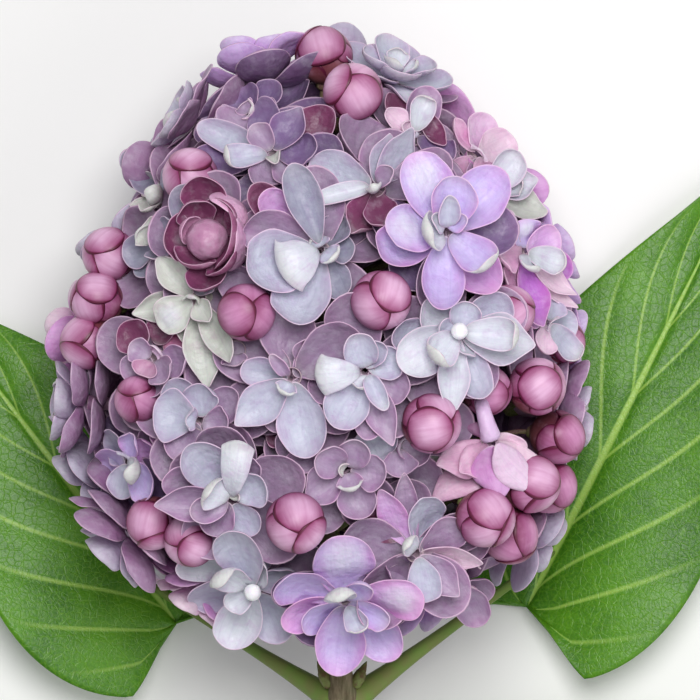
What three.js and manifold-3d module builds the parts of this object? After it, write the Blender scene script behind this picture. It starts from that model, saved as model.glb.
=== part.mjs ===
// A cut stem of double-flowered lilac, lying on a flat surface. A woody twig runs on as the green
// rachis of an egg-shaped panicle. Side sprays, each with its pedicels, tubes, double blooms and
// buds, are seated on the rachis, and pairs of heart-shaped leaves on the twig below it.
// Millimetres, +Z up, the panicle points along +Y.
import * as THREE from 'three';
import { mergeVertices } from 'three/addons/utils/BufferGeometryUtils.js';
import Module from 'manifold-3d';

// ---- Driving dimensions, mm ------------------------------------------------------------------

const GAP = 0.3; // clearance at each seat, and between the petals of neighbouring blooms

// The panicle is an egg on its side, measured to the faces of its blooms. Skew moves its widest
// place from the middle towards the base. Its underside is pressed flat where it lies on its blooms.
const HEAD = {
  x: -2.5, y: 2, halfWidth: 44.5, halfHeight: 34.5, underHeight: 36.5, halfLength: 51, skew: 9,
  restHeight: 3.3,
};
const AXIS_HEIGHT = 38; // rachis above the surface that the stem lies on

const STEM = {
  cutEnd: -168, tip: 46, // along y
  bendAt: -36, bendLength: 20, slope: 0.268, // where it starts to run down to the surface
  bow: 5, // sideways bend of the twig
  tipRadius: 0.9, headRadius: 2.0, cutRadius: 3.1, cutSlant: 0.9,
  nodeSwelling: 0.7, nodeLength: 4, step: 8, sides: 8,
};
const NODE_Y = [-66, -112]; // where the two pairs of leaves grow

const PEDICEL_RADIUS = 0.8;
const BLOOM = {
  neckRadius: 1.5, tubeRadius: 1.05, neckDepth: 2.8, tubeLength: 7, // below the face
  edgeHeight: 2.2, notchHeight: -0.6, notchReach: 0.6, shoulderReach: 0.96, endReach: 1.02,
  cupRadius: 4.0, cupHeight: 0.2, throatHeight: 0.6,
  innerReach: 0.58, innerHeight: 4.4, innerNotchReach: 0.4, innerNotchHeight: 2.8,
};
const BUD = { neckRadius: 1.1, neckDepth: 5.4, tipHeight: 5.6, width: 0.91, lower: -0.45, upper: 0.35 };
const BLOOM_SPACING = 7.9; // radius that a bloom keeps to itself, and the same for a bud
const BUD_SPACING = 4.8;
const NEIGHBOUR_REACH = 32; // faces further apart than this never touch
const LEAST_ROOM = 0.4;

// Side branches in pairs from the base of the egg to its tip, by their angle from the tip in degrees.
// Each rises from the rachis to a hub part of the way out, and bears pedicels on its outer stretch.
const SPRAY = { pairs: 8, baseAngle: 143, stepAngle: 16, hubDepth: 0.5, rise: 9, radius: 1.5, bare: 0.55 };

// Where pedicels crowd the middle of a spray they are one small core that the blooms stand out of:
// its size as a share of the egg, and how far it keeps from the middle between two hubs
const CORE = { share: 0.6, clear: 1.6, sides: 12, step: 0.4, ends: 0.3 };

const BLADE_THICKNESS = 0.8;
const PETIOLE = { baseRadius: 1.4, endRadius: 0.7, sides: 5 };

// Blooms on the upper side, each where it grows: x and y of its face, how far it stands out of the
// egg, how its face leans from straight out in x and y, its radius, and how far it is turned in degrees
const UPPER_BLOOMS = [
  [-11.8, 35.2, 0, -0.2, 0.3, 12, 20], [6.3, 28.8, 1, -0.7, 0.35, 12, 40],
  [17.7, 19.8, 4, 0.05, 0, 12, 0], [20, 2.9, 3, 0, 0, 12, 30],
  [-2.9, 17.3, 2, 0.2, -0.05, 12.5, 10], [-22.3, 18.9, 2, -0.1, 0, 10.5, 45],
  [-36.8, 29.5, -3, -0.2, 0.1, 11, 15], [-33.9, 20, -2, -0.2, -0.2, 11, 60],
  [-25.5, 9.3, 0, -0.4, -0.3, 11, 30], [-33.6, -1.4, -1, -0.2, 0, 11.5, 50],
  [-18.9, 0, -2, -0.1, -0.4, 11, 70], [4.6, -3.9, 2, -0.1, -0.2, 12, 65],
  [-8.2, -5, 1, -0.2, -0.4, 12, 25], [-17.9, -25.7, 3, 0.1, -0.1, 12, 55],
  [-24.6, -12.5, 0, -0.1, 0.2, 11, 35], [1.8, -22, -3, 0, 0, 11.5, 20],
  [-15, -42.3, 1, 0, -0.1, 11.5, 45], [1.1, -42.9, 3, 0, 0, 12, 5],
  [13.9, -35.7, 1, 0.15, 0.6, 12, 75], [26.3, -16, 2, 0.1, -0.9, 11.5, 40],
  [33, 17.5, 1, 0.5, 0, 11.5, 15], [38.2, 5, 0, 0.6, -0.3, 11, 60],
  [13.8, 38.9, 0, 0.3, 0.4, 11, 30], [25.4, 35.7, 0, 0.4, 0.4, 11, 70],
  [33.8, 30.7, -3, 0.5, 0.3, 10.5, 45], [-39.8, -20.5, -2, -0.4, 0.1, 11, 10],
  [-32.5, -13.9, -4, -0.1, 0, 10, 55], [-6.8, -17, -4, 0, 0, 10, 15],
  [11.6, -17.6, -4, 0, 0.1, 10, 45], [23.6, -42.9, 0, 0.1, -0.4, 10.5, 25],
  [-16.6, 44.2, -2, -0.1, 0.4, 10.5, 35],
];

// Buds on the upper side: x, y, how far each stands out of the egg, and its radius
const UPPER_BUDS = [
  [-15.7, 6.3, 2, 5.2], [7.1, 8.2, 3, 5.4], [-7.3, -29.3, 3, 5.4], [15.7, -12.8, 2, 5.4],
  [34.8, -6.6, 1, 5.3], [28.2, -7.2, -3, 4.6], [2.7, 45.7, 1, 5.4], [-43, 17.3, 0, 5],
  [-43.8, 9, 0, 5], [-45.4, 1.6, 0, 5], [-36.5, -9, -1, 4.2], [-32.7, -30.4, 1, 4.8],
  [-26, -33.5, 1, 4.8], [39.6, -15.7, 0, 5], [39.6, -24.5, 0, 5.2], [30.2, -32.7, 1, 5.2],
];

// The rest of the panicle is filled from a spiral of places round the egg, in this mix
const FILL = { places: 1500, seed: 2027, budShare: 0.04, baseAngle: 2.68, lean: 0.28 };

// Leaves in pairs: the place of the node along the stem, where the blade starts and ends, its half
// width, how high it arches, how much higher its outer half lies, and how deep its edge waves
const LEAVES = [
  { node: -66, from: [36, -49, 3.6], to: [79.5, 38, 0.3], halfWidth: 26, arch: 3.2, roll: 0.33, wave: 1.4 },
  { node: -66, from: [-31, -52, 4.5], to: [-80, 12, 0.3], halfWidth: 25, arch: 3.2, roll: -0.3, wave: 1.2 },
  { node: -112, from: [19, -103, 7], to: [80, -74, 0.3], halfWidth: 22, arch: 5.6, roll: 0.08, wave: 1.2 },
  { node: -112, from: [-22, -107, 7], to: [-79, -88, 0.3], halfWidth: 20, arch: 4.8, roll: -0.08, wave: 1.0 },
];
const LEAF = {
  rows: 12, columns: 6, // steps along a blade and across it
  first: 0.04, last: 0.99, // shares of its length at the first row and the last
  lobe: 0.13, lift: 0.06, wavesAlong: 11, wavesAcross: 2,
};

const COLOURS = {
  stem: 0x7a6a4c, spray: [0xc8b4dc, 0xb9b7cf, 0xcda3c9, 0xbfb2d8], leaf: 0x4f8f2c,
};

// ---- Solids ----------------------------------------------------------------------------------

const wasm = await Module();
wasm.setup();

function solidOf(geometry) {
  const bare = geometry.clone();
  bare.deleteAttribute('normal');
  bare.deleteAttribute('uv');
  const merged = mergeVertices(bare, 1e-4);
  return new wasm.Manifold(new wasm.Mesh({
    numProp: 3,
    vertProperties: new Float32Array(merged.getAttribute('position').array),
    triVerts: new Uint32Array(merged.index.array),
  }));
}

// A cut can leave a loose scrap behind, so only the largest body is kept
function largestBody(solid) {
  return solid.decompose().reduce((best, body) => (body.volume() > best.volume() ? body : best));
}

function meshOf(solid, name, colour, roughness) {
  const { numProp, vertProperties, triVerts } = solid.getMesh();
  const geometry = new THREE.BufferGeometry();
  const positions = new THREE.InterleavedBuffer(vertProperties, numProp);
  geometry.setAttribute('position', new THREE.InterleavedBufferAttribute(positions, 3, 0));
  geometry.setIndex(new THREE.BufferAttribute(triVerts, 1));
  const material = new THREE.MeshStandardMaterial({ color: colour, roughness, metalness: 0 });
  const mesh = new THREE.Mesh(geometry, material);
  mesh.name = name;
  return mesh;
}

// Closed solid through a row of rings, each a list of points counted round the same way. Rings may
// differ in their number of points, and a ring of one point is a pole.
function loft(rings) {
  const starts = [];
  const points = [];
  for (const ring of rings) {
    starts.push(points.length);
    points.push(...ring);
  }
  const faces = [];
  for (let r = 0; r + 1 < rings.length; r += 1) {
    const lower = rings[r].length;
    const upper = rings[r + 1].length;
    let i = 0;
    let j = 0;
    while (i < lower || j < upper) {
      const a = starts[r] + (i % lower);
      const b = starts[r + 1] + (j % upper);
      if (upper === 1 || (i < lower && (i + 0.5) / lower <= (j + 0.5) / upper)) {
        i += 1;
        faces.push(a, starts[r] + (i % lower), b);
        if (upper === 1 && i === lower) break;
      } else {
        j += 1;
        faces.push(a, starts[r + 1] + (j % upper), b);
      }
    }
  }
  const last = rings.length - 1;
  for (let i = 2; i < rings[0].length; i += 1) faces.push(starts[0], starts[0] + i, starts[0] + i - 1);
  for (let i = 2; i < rings[last].length; i += 1) {
    faces.push(starts[last], starts[last] + i - 1, starts[last] + i);
  }
  const geometry = new THREE.BufferGeometry().setFromPoints(points);
  geometry.setIndex(faces);
  return geometry;
}

// The two directions square to an axis that the rings round it are counted from
function crossAxes(axis, turn = 0) {
  const start = Math.abs(axis.y) < 0.9 ? new THREE.Vector3(0, 1, 0) : new THREE.Vector3(0, 0, 1);
  const u = start.cross(axis).normalize().applyAxisAngle(axis, turn);
  return { u, v: axis.clone().cross(u) };
}

function ringPoint(centre, { u, v }, angle, radius) {
  return centre.clone()
    .addScaledVector(u, radius * Math.cos(angle))
    .addScaledVector(v, radius * Math.sin(angle));
}

function ring(centre, axes, radius, sides) {
  const turns = Array.from({ length: sides }, (_, i) => (i / sides) * 2 * Math.PI);
  return turns.map((turn) => ringPoint(centre, axes, turn, radius));
}

function rod(from, to, fromRadius, toRadius, sides) {
  const axes = crossAxes(to.clone().sub(from).normalize());
  return loft([ring(from, axes, fromRadius, sides), ring(to, axes, toRadius, sides)]);
}

// Thin closed blade on a grid of points, split into triangles alike on both faces
function blade(rows, thickness) {
  const columns = rows[0].length;
  const count = rows.length * columns;
  const points = [];
  for (const side of [0.5, -0.5]) {
    for (const point of rows.flat()) points.push(point.clone().setZ(point.z + side * thickness));
  }
  const faces = [];
  for (let r = 0; r + 1 < rows.length; r += 1) {
    for (let c = 0; c + 1 < columns; c += 1) {
      const a = r * columns + c;
      const b = a + columns;
      faces.push(a, a + 1, b, a + 1, b + 1, b);
      faces.push(count + a, count + b, count + a + 1, count + a + 1, count + b, count + b + 1);
    }
  }
  const rim = [];
  for (let c = 0; c < columns - 1; c += 1) rim.push(c);
  for (let r = 0; r < rows.length - 1; r += 1) rim.push(r * columns + columns - 1);
  for (let c = columns - 1; c > 0; c -= 1) rim.push((rows.length - 1) * columns + c);
  for (let r = rows.length - 1; r > 0; r -= 1) rim.push(r * columns);
  rim.forEach((a, i) => {
    const b = rim[(i + 1) % rim.length];
    faces.push(a, count + a, b, b, count + a, count + b);
  });
  const geometry = new THREE.BufferGeometry().setFromPoints(points);
  geometry.setIndex(faces);
  return geometry;
}

// ---- Stem ------------------------------------------------------------------------------------

// Distance past the bend, eased in over the length of the bend
function pastBend(y) {
  const u = STEM.bendAt - y;
  return (u + Math.hypot(u, STEM.bendLength)) / 2;
}

// Middle of the stem: level through the panicle, then down to the surface with a slight bow
function stemCentre(y) {
  const run = pastBend(y) - pastBend(STEM.tip);
  const bow = STEM.bow * Math.sin((Math.PI * run) / (STEM.bendAt - STEM.cutEnd));
  return new THREE.Vector3(HEAD.x + bow, y, AXIS_HEIGHT - STEM.slope * run);
}

function stemRadius(y) {
  const headBase = HEAD.y - HEAD.halfLength;
  const radius = y > headBase
    ? THREE.MathUtils.mapLinear(y, headBase, STEM.tip, STEM.headRadius, STEM.tipRadius)
    : THREE.MathUtils.mapLinear(y, STEM.cutEnd, headBase, STEM.cutRadius, STEM.headRadius);
  const swelling = NODE_Y.reduce((sum, node) => sum + Math.exp(-(((y - node) / STEM.nodeLength) ** 2)), 0);
  return radius + STEM.nodeSwelling * swelling;
}

// Rings stand square to y. The first one leans back, as the cut end is slanted.
function stemSolid(extra) {
  const steps = Math.round((STEM.tip - STEM.cutEnd) / STEM.step);
  const stations = Array.from({ length: steps + 1 }, (_, i) => (
    THREE.MathUtils.lerp(STEM.cutEnd, STEM.tip, i / steps)));
  const places = [...stations, ...NODE_Y].sort((a, b) => a - b);
  const axes = crossAxes(new THREE.Vector3(0, 1, 0));
  const rings = places.map((y, i) => {
    const points = ring(stemCentre(y), axes, stemRadius(y) + extra, STEM.sides);
    if (i === 0) points.forEach((p) => p.setY(y + STEM.cutSlant * (p.z - stemCentre(y).z)));
    return points;
  });
  rings.push([stemCentre(STEM.tip + 1 + extra)]);
  return solidOf(loft(rings));
}

// ---- Panicle: where its blooms and buds grow -------------------------------------------------

// Point on the egg, by its angle from the tip and its turn round the axis from the top
function eggPoint(polar, turn) {
  const round = Math.sin(polar);
  const halfHeight = Math.cos(turn) > 0 ? HEAD.halfHeight : HEAD.underHeight;
  return new THREE.Vector3(
    HEAD.x + HEAD.halfWidth * round * Math.sin(turn),
    HEAD.y + HEAD.halfLength * Math.cos(polar) - HEAD.skew * round * round,
    Math.max(AXIS_HEIGHT + halfHeight * round * Math.cos(turn), HEAD.restHeight),
  );
}

function eggNormal(polar, turn) {
  const alongTurn = new THREE.Vector3(
    HEAD.halfWidth * Math.cos(turn), 0, -HEAD.halfHeight * Math.sin(turn));
  const alongPolar = new THREE.Vector3(
    HEAD.halfWidth * Math.cos(polar) * Math.sin(turn),
    -Math.sin(polar) * (HEAD.halfLength + 2 * HEAD.skew * Math.cos(polar)),
    HEAD.halfHeight * Math.cos(polar) * Math.cos(turn));
  return alongPolar.cross(alongTurn).normalize();
}

// Angles of the point on the upper side of the egg that lies over x, y
function upperAngles(x, y) {
  const reach = HEAD.halfLength ** 2 + 4 * HEAD.skew * (HEAD.skew + y - HEAD.y);
  const polar = Math.acos((Math.sqrt(reach) - HEAD.halfLength) / (2 * HEAD.skew));
  const side = (x - HEAD.x) / (HEAD.halfWidth * Math.sin(polar));
  return { polar, turn: Math.asin(THREE.MathUtils.clamp(side, -0.98, 0.98)) };
}

function placed(kind, { polar, turn }, standsOut, lean, radius, spin) {
  const normal = eggNormal(polar, turn);
  return {
    kind, normal, radius, spin,
    centre: eggPoint(polar, turn).addScaledVector(normal, standsOut),
    axis: normal.clone().add(lean).normalize(),
    spacing: kind === 'bloom' ? BLOOM_SPACING : BUD_SPACING,
  };
}

// Park and Miller's random numbers, the same on every run
function randomNumbers(seed) {
  let state = seed;
  return () => {
    state = (state * 16807) % 2147483647;
    return state / 2147483647;
  };
}

function placeAll() {
  const items = [];
  for (const [x, y, standsOut, leanX, leanY, radius, turned] of UPPER_BLOOMS) {
    const lean = new THREE.Vector3(leanX, leanY, 0.3);
    const spin = THREE.MathUtils.degToRad(turned);
    items.push(placed('bloom', upperAngles(x, y), standsOut, lean, radius, spin));
  }
  for (const [x, y, standsOut, radius] of UPPER_BUDS) {
    const lean = new THREE.Vector3(0, 0, 0.3);
    items.push(placed('bud', upperAngles(x, y), standsOut, lean, radius, 0));
  }
  const random = randomNumbers(FILL.seed);
  const goldenAngle = Math.PI * (3 - Math.sqrt(5));
  for (const pass of ['bloom', 'bud']) {
    for (let i = 0; i < FILL.places; i += 1) {
      const height = 1 - (2 * (i + 0.5)) / FILL.places;
      const angles = { polar: Math.acos(height), turn: i * goldenAngle };
      const kind = pass === 'bloom' && random() < FILL.budShare ? 'bud' : pass;
      const lean = new THREE.Vector3(random() - 0.5, random() - 0.5, random() - 0.5)
        .multiplyScalar(2 * FILL.lean);
      const size = random();
      const spin = random() * 2 * Math.PI;
      const radius = kind === 'bloom' ? 10 + 2 * size : 4.4 + size;
      const item = placed(kind, angles, 2 * size - 1, lean, radius, spin);
      const free = items.every((other) => (
        other.centre.distanceTo(item.centre) > other.spacing + item.spacing));
      if (free && angles.polar < FILL.baseAngle) items.push(item);
    }
  }
  return items;
}

// The walls that keep neighbours apart: halfway between their faces, square to the panicle
function addWalls(items) {
  for (const item of items) {
    item.walls = [];
    for (const other of items) {
      const apart = other.centre.clone().sub(item.centre);
      if (other === item || apart.length() > NEIGHBOUR_REACH) continue;
      const normal = item.normal.clone().add(other.normal).normalize();
      const share = item.spacing / (item.spacing + other.spacing);
      const point = item.centre.clone().addScaledVector(apart, share);
      const across = apart.addScaledVector(normal, -apart.dot(normal)).normalize();
      item.walls.push({ point, across });
    }
  }
}

// How far a corner may lie from its place on the axis, in one direction, before it meets a wall
function roomAlong(item, from, direction) {
  let room = Infinity;
  for (const { point, across } of item.walls) {
    const closing = across.dot(direction);
    const distance = point.clone().sub(from).dot(across) - GAP / 2;
    if (closing > 0) room = Math.min(room, Math.max(distance, LEAST_ROOM) / closing);
  }
  return room;
}

// ---- Panicle: blooms, buds and sprays --------------------------------------------------------

// Ring round an item's axis whose radius and height follow a function of the corner's number. All
// corners in one direction draw in by the same share, so that the layers stay inside each other.
function petalRing(item, axes, sides, shape) {
  return Array.from({ length: sides }, (_, i) => {
    const angle = (i / sides) * 2 * Math.PI;
    const direction = ringPoint(new THREE.Vector3(), axes, angle, 1);
    const room = Math.min(...[-BLOOM.neckDepth, 0, BLOOM.innerHeight].map((height) => (
      roomAlong(item, item.centre.clone().addScaledVector(item.axis, height), direction))));
    const share = Math.min(1, room / item.radius);
    const { reach, height } = shape(i);
    return item.centre.clone()
      .addScaledVector(item.axis, height)
      .addScaledVector(direction, share * reach * item.radius);
  });
}

// Double bloom in one body: pedicel and tube, an outer whorl of four broad petals with rounded
// ends, an inner whorl of four pointed ones between them, and the open throat
function bloomSolid(item, root) {
  const { centre, axis, normal, radius } = item;
  const axes = crossAxes(axis, item.spin);
  const neck = centre.clone().addScaledVector(axis, -BLOOM.neckDepth);
  const tubeEnd = neck.clone().addScaledVector(normal, -BLOOM.tubeLength);
  const pedicelAxes = crossAxes(tubeEnd.clone().sub(root).normalize(), item.spin);
  const outerPetal = [
    { reach: BLOOM.notchReach, height: BLOOM.notchHeight },
    { reach: BLOOM.shoulderReach, height: BLOOM.edgeHeight * 0.6 },
    { reach: BLOOM.endReach, height: BLOOM.edgeHeight },
    { reach: BLOOM.endReach, height: BLOOM.edgeHeight },
    { reach: BLOOM.shoulderReach, height: BLOOM.edgeHeight * 0.6 },
  ];
  const innerPetal = [
    { reach: BLOOM.innerReach, height: BLOOM.innerHeight },
    { reach: BLOOM.innerNotchReach, height: BLOOM.innerNotchHeight },
  ];
  return solidOf(loft([
    ring(root, pedicelAxes, PEDICEL_RADIUS, 4),
    ring(tubeEnd, pedicelAxes, BLOOM.tubeRadius, 4),
    ring(neck, axes, BLOOM.neckRadius, 4),
    petalRing(item, axes, 20, (i) => outerPetal[i % 5]),
    petalRing(item, axes, 8, () => ({ reach: BLOOM.cupRadius / radius, height: BLOOM.cupHeight })),
    petalRing(item, axes, 8, (i) => innerPetal[i % 2]),
    [centre.clone().addScaledVector(axis, BLOOM.throatHeight)],
  ]));
}

// Closed bud in one body with its pedicel
function budSolid(item, root) {
  const { centre, axis, radius } = item;
  const axes = crossAxes(axis, item.spin);
  const neck = centre.clone().addScaledVector(axis, -BUD.neckDepth);
  const pedicelAxes = crossAxes(neck.clone().sub(root).normalize(), item.spin);
  return solidOf(loft([
    ring(root, pedicelAxes, PEDICEL_RADIUS, 4),
    ring(neck, axes, BUD.neckRadius, 4),
    petalRing(item, axes, 6, () => ({ reach: BUD.width, height: BUD.lower * radius })),
    petalRing(item, axes, 6, () => ({ reach: BUD.width, height: BUD.upper * radius })),
    [centre.clone().addScaledVector(axis, BUD.tipHeight)],
  ]));
}

// Side branches: pairs that cross the pair below them, and one at the tip
function sprayBranches() {
  const branches = [];
  const rachisEnd = STEM.tip - 2;
  for (let pair = 0; pair < SPRAY.pairs; pair += 1) {
    const polar = THREE.MathUtils.degToRad(SPRAY.baseAngle - SPRAY.stepAngle * pair);
    const turn = Math.PI / 4 + (pair % 2) * (Math.PI / 2);
    for (const side of [turn, turn + Math.PI]) {
      const outer = eggPoint(polar, side);
      const hub = stemCentre(outer.y).lerp(outer, SPRAY.hubDepth);
      branches.push(new THREE.Line3(stemCentre(Math.min(outer.y - SPRAY.rise, rachisEnd)), hub));
    }
  }
  const tipHub = stemCentre(STEM.tip + 2);
  branches.push(new THREE.Line3(stemCentre(rachisEnd), tipHub));
  return branches;
}

function innerEnd(item) {
  const depth = item.kind === 'bloom' ? BLOOM.neckDepth + BLOOM.tubeLength : BUD.neckDepth;
  return item.centre.clone().addScaledVector(item.normal, -depth);
}

// The share of the middle of the panicle that lies nearest to one hub
function coreSolid(branch, branches) {
  const middle = new THREE.Vector3(HEAD.x, HEAD.y, AXIS_HEIGHT);
  const rings = [];
  for (let polar = Math.PI - CORE.ends; polar > CORE.ends; polar -= CORE.step) {
    rings.push(Array.from({ length: CORE.sides }, (_, i) => (
      middle.clone().lerp(eggPoint(polar, (i / CORE.sides) * 2 * Math.PI), CORE.share))));
  }
  let core = solidOf(loft(rings));
  for (const other of branches) {
    if (other === branch) continue;
    const away = branch.end.clone().sub(other.end);
    const wall = branch.end.clone().add(other.end).multiplyScalar(0.5)
      .addScaledVector(away.normalize(), CORE.clear);
    if (!core.isEmpty()) core = core.trimByPlane(away.toArray(), away.dot(wall));
  }
  return core;
}

function spraySolid(branch, items, stemSeat) {
  const parts = [
    solidOf(rod(branch.start, branch.end, SPRAY.radius, SPRAY.radius, 5)),
    coreSolid(branch, branches),
  ];
  const rootLine = new THREE.Line3(branch.at(SPRAY.bare, new THREE.Vector3()), branch.end);
  for (const item of items) {
    const root = rootLine.closestPointToPoint(innerEnd(item), true, new THREE.Vector3());
    parts.push(item.kind === 'bloom' ? bloomSolid(item, root) : budSolid(item, root));
  }
  const whole = wasm.Manifold.union(parts.filter((part) => !part.isEmpty())).subtract(stemSeat);
  return largestBody(whole.trimByPlane([0, 0, 1], 0));
}

// ---- Leaves ----------------------------------------------------------------------------------

// Half width along a heart-shaped blade that ends in a drawn-out point, as a share of the widest
function leafOutline(t) {
  return 1.12 * Math.sin(Math.PI * t ** 0.6) ** 0.75 * (1 - t) ** 0.3;
}

function leafSolid({ node, from, to, halfWidth, arch, roll, wave }, stemSeat) {
  const start = new THREE.Vector3(...from);
  const end = new THREE.Vector3(...to);
  const length = start.distanceTo(end);
  const forward = end.clone().sub(start).setZ(0).normalize();
  const sideways = new THREE.Vector3(forward.y, -forward.x, 0);
  const rows = [];
  for (let r = 0; r <= LEAF.rows; r += 1) {
    const t = THREE.MathUtils.lerp(LEAF.first, LEAF.last, r / LEAF.rows);
    const row = [];
    for (let c = 0; c <= LEAF.columns; c += 1) {
      const s = (2 * c) / LEAF.columns - 1;
      const out = s * halfWidth * leafOutline(t);
      const lobe = LEAF.lobe * length * Math.abs(s) ** 1.5 * (1 - t) ** 3;
      const point = start.clone().lerp(end, t)
        .addScaledVector(sideways, out).addScaledVector(forward, -lobe);
      point.z += arch * Math.sin(Math.PI * t) + roll * out * (1 - t) + LEAF.lift * Math.abs(out)
        + wave * s * s * Math.sin(LEAF.wavesAlong * t + LEAF.wavesAcross * s);
      row.push(point.setZ(Math.max(point.z, BLADE_THICKNESS * 0.3)));
    }
    rows.push(row);
  }
  const bladeStart = rows[1][LEAF.columns / 2];
  const petiole = rod(stemCentre(node), bladeStart, PETIOLE.baseRadius, PETIOLE.endRadius, PETIOLE.sides);
  const whole = solidOf(blade(rows, BLADE_THICKNESS)).add(solidOf(petiole)).subtract(stemSeat);
  return largestBody(whole.trimByPlane([0, 0, 1], 0));
}

// ---- The whole stem --------------------------------------------------------------------------

const items = placeAll();
addWalls(items);

const stem = stemSolid(0);
const stemSeat = stemSolid(GAP);
const branches = sprayBranches();
for (const item of items) {
  const end = innerEnd(item);
  const distances = branches.map((branch) => branch.end.distanceTo(end));
  item.branch = distances.indexOf(Math.min(...distances));
}

const lilac = new THREE.Group();
lilac.add(meshOf(stem.trimByPlane([0, 0, 1], 0), 'stem', COLOURS.stem, 0.8));
branches.forEach((branch, i) => {
  const solid = spraySolid(branch, items.filter((item) => item.branch === i), stemSeat);
  const name = `spray_${String(i + 1).padStart(2, '0')}`;
  lilac.add(meshOf(solid, name, COLOURS.spray[i % COLOURS.spray.length], 0.6));
});
LEAVES.forEach((leaf, i) => {
  lilac.add(meshOf(leafSolid(leaf, stemSeat), `leaf_${i + 1}`, COLOURS.leaf, 0.5));
});

// The origin is on the surface, under the middle of the whole stem
const box = new THREE.Box3().setFromObject(lilac);
lilac.position.set(-(box.min.x + box.max.x) / 2, -(box.min.y + box.max.y) / 2, 0);

export default lilac;
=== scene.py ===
"""A cut stem of double-flowered lilac lying on a pale surface: the egg-shaped panicle with its rachis,
side sprays, double blooms and closed buds, and the woody twig with two pairs of heart-shaped leaves.
Places are worked out in millimetres from the middle of the panicle, and meshes are in metres."""
import math

import bmesh
import bpy
from mathutils import Matrix, Vector, noise
from mathutils.bvhtree import BVHTree


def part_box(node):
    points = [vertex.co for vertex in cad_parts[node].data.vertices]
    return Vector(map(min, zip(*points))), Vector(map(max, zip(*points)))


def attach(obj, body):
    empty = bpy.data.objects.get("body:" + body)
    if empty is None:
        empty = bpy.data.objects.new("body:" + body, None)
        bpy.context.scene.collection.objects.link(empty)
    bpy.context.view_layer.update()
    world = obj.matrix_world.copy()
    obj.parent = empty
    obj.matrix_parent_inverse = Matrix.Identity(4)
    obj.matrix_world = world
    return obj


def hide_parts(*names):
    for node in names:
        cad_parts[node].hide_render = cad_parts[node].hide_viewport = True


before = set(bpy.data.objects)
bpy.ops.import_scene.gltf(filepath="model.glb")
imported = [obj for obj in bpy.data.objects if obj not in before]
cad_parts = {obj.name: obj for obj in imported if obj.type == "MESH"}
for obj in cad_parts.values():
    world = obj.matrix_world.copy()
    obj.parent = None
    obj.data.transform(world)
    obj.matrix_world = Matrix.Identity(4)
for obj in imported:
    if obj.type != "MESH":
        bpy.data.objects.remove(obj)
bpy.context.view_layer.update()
scene = bpy.context.scene

# ---- Camera ----------------------------------------------------------------------------------
# The stem lies on a table and is looked at from straight above, close to the panicle, through a
# long lens, with the tip of the panicle at the top of the picture.

MM = 0.001
RACHIS_END = 47  # y of the end of the rachis from the middle of the panicle, mm
MIDDLE = Vector((0.135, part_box("stem")[1].y / MM - RACHIS_END, 0))


def at(point):
    """A place measured from the middle of the panicle in mm, as a place in the scene."""
    return (point + MIDDLE) * MM


CAMERA_X, CAMERA_HEIGHT, BLOOM_HEIGHT, PICTURE_WIDTH, SENSOR = 2.14, 900, 62, 125, 36
camera_data = bpy.data.cameras.new("overhead_camera")
camera_data.sensor_width = SENSOR
camera_data.lens = SENSOR * (CAMERA_HEIGHT - BLOOM_HEIGHT) / PICTURE_WIDTH
camera_data.clip_start, camera_data.clip_end = 0.01, 10
camera = bpy.data.objects.new("overhead_camera", camera_data)
camera.location = at(Vector((CAMERA_X, 0, CAMERA_HEIGHT)))
scene.collection.objects.link(camera)
scene.camera = camera

# ---- Twig and rachis -------------------------------------------------------------------------
# Last year's shoot: a woody twig with thin grey-brown bark, dotted with corky pores and swollen at
# the two nodes, cut slantwise at its lower end. It grows on as the soft green rachis of the panicle.

HEAD = dict(x=-2.5, y=2, half_width=44.5, half_height=34.5, under_height=36.5, half_length=51, skew=9,
            rest_height=3.3)
AXIS_HEIGHT = 38
CUT_END, TIP, BEND_AT, BEND_LENGTH, SLOPE, BOW = -168, 46, -36, 20, 0.268, 5
TIP_RADIUS, HEAD_RADIUS, CUT_RADIUS, CUT_SLANT = 0.9, 2.0, 3.1, 0.9
NODE_SWELLING, NODE_LENGTH, NODE_Y = 0.7, 4, (-66, -112)
UP = Vector((0, 0, 1))


def past_bend(y):
    u = BEND_AT - y
    return (u + math.hypot(u, BEND_LENGTH)) / 2


def stem_centre(y):
    run = past_bend(y) - past_bend(TIP)
    bow = BOW * math.sin(math.pi * run / (BEND_AT - CUT_END))
    return Vector((HEAD["x"] + bow, y, AXIS_HEIGHT - SLOPE * run))


def stem_radius(y):
    head_base = HEAD["y"] - HEAD["half_length"]
    if y > head_base:
        radius = HEAD_RADIUS + (TIP_RADIUS - HEAD_RADIUS) * (y - head_base) / (TIP - head_base)
    else:
        radius = CUT_RADIUS + (HEAD_RADIUS - CUT_RADIUS) * (y - CUT_END) / (head_base - CUT_END)
    return radius + NODE_SWELLING * sum(math.exp(-((y - n) / NODE_LENGTH) ** 2) for n in NODE_Y)


def colour(text):
    """A screen colour as the shader's own numbers."""
    parts = [int(text[i:i + 2], 16) / 255 for i in (0, 2, 4)]
    return tuple((c / 12.92 if c < 0.04045 else ((c + 0.055) / 1.055) ** 2.4) for c in parts) + (1,)


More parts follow.
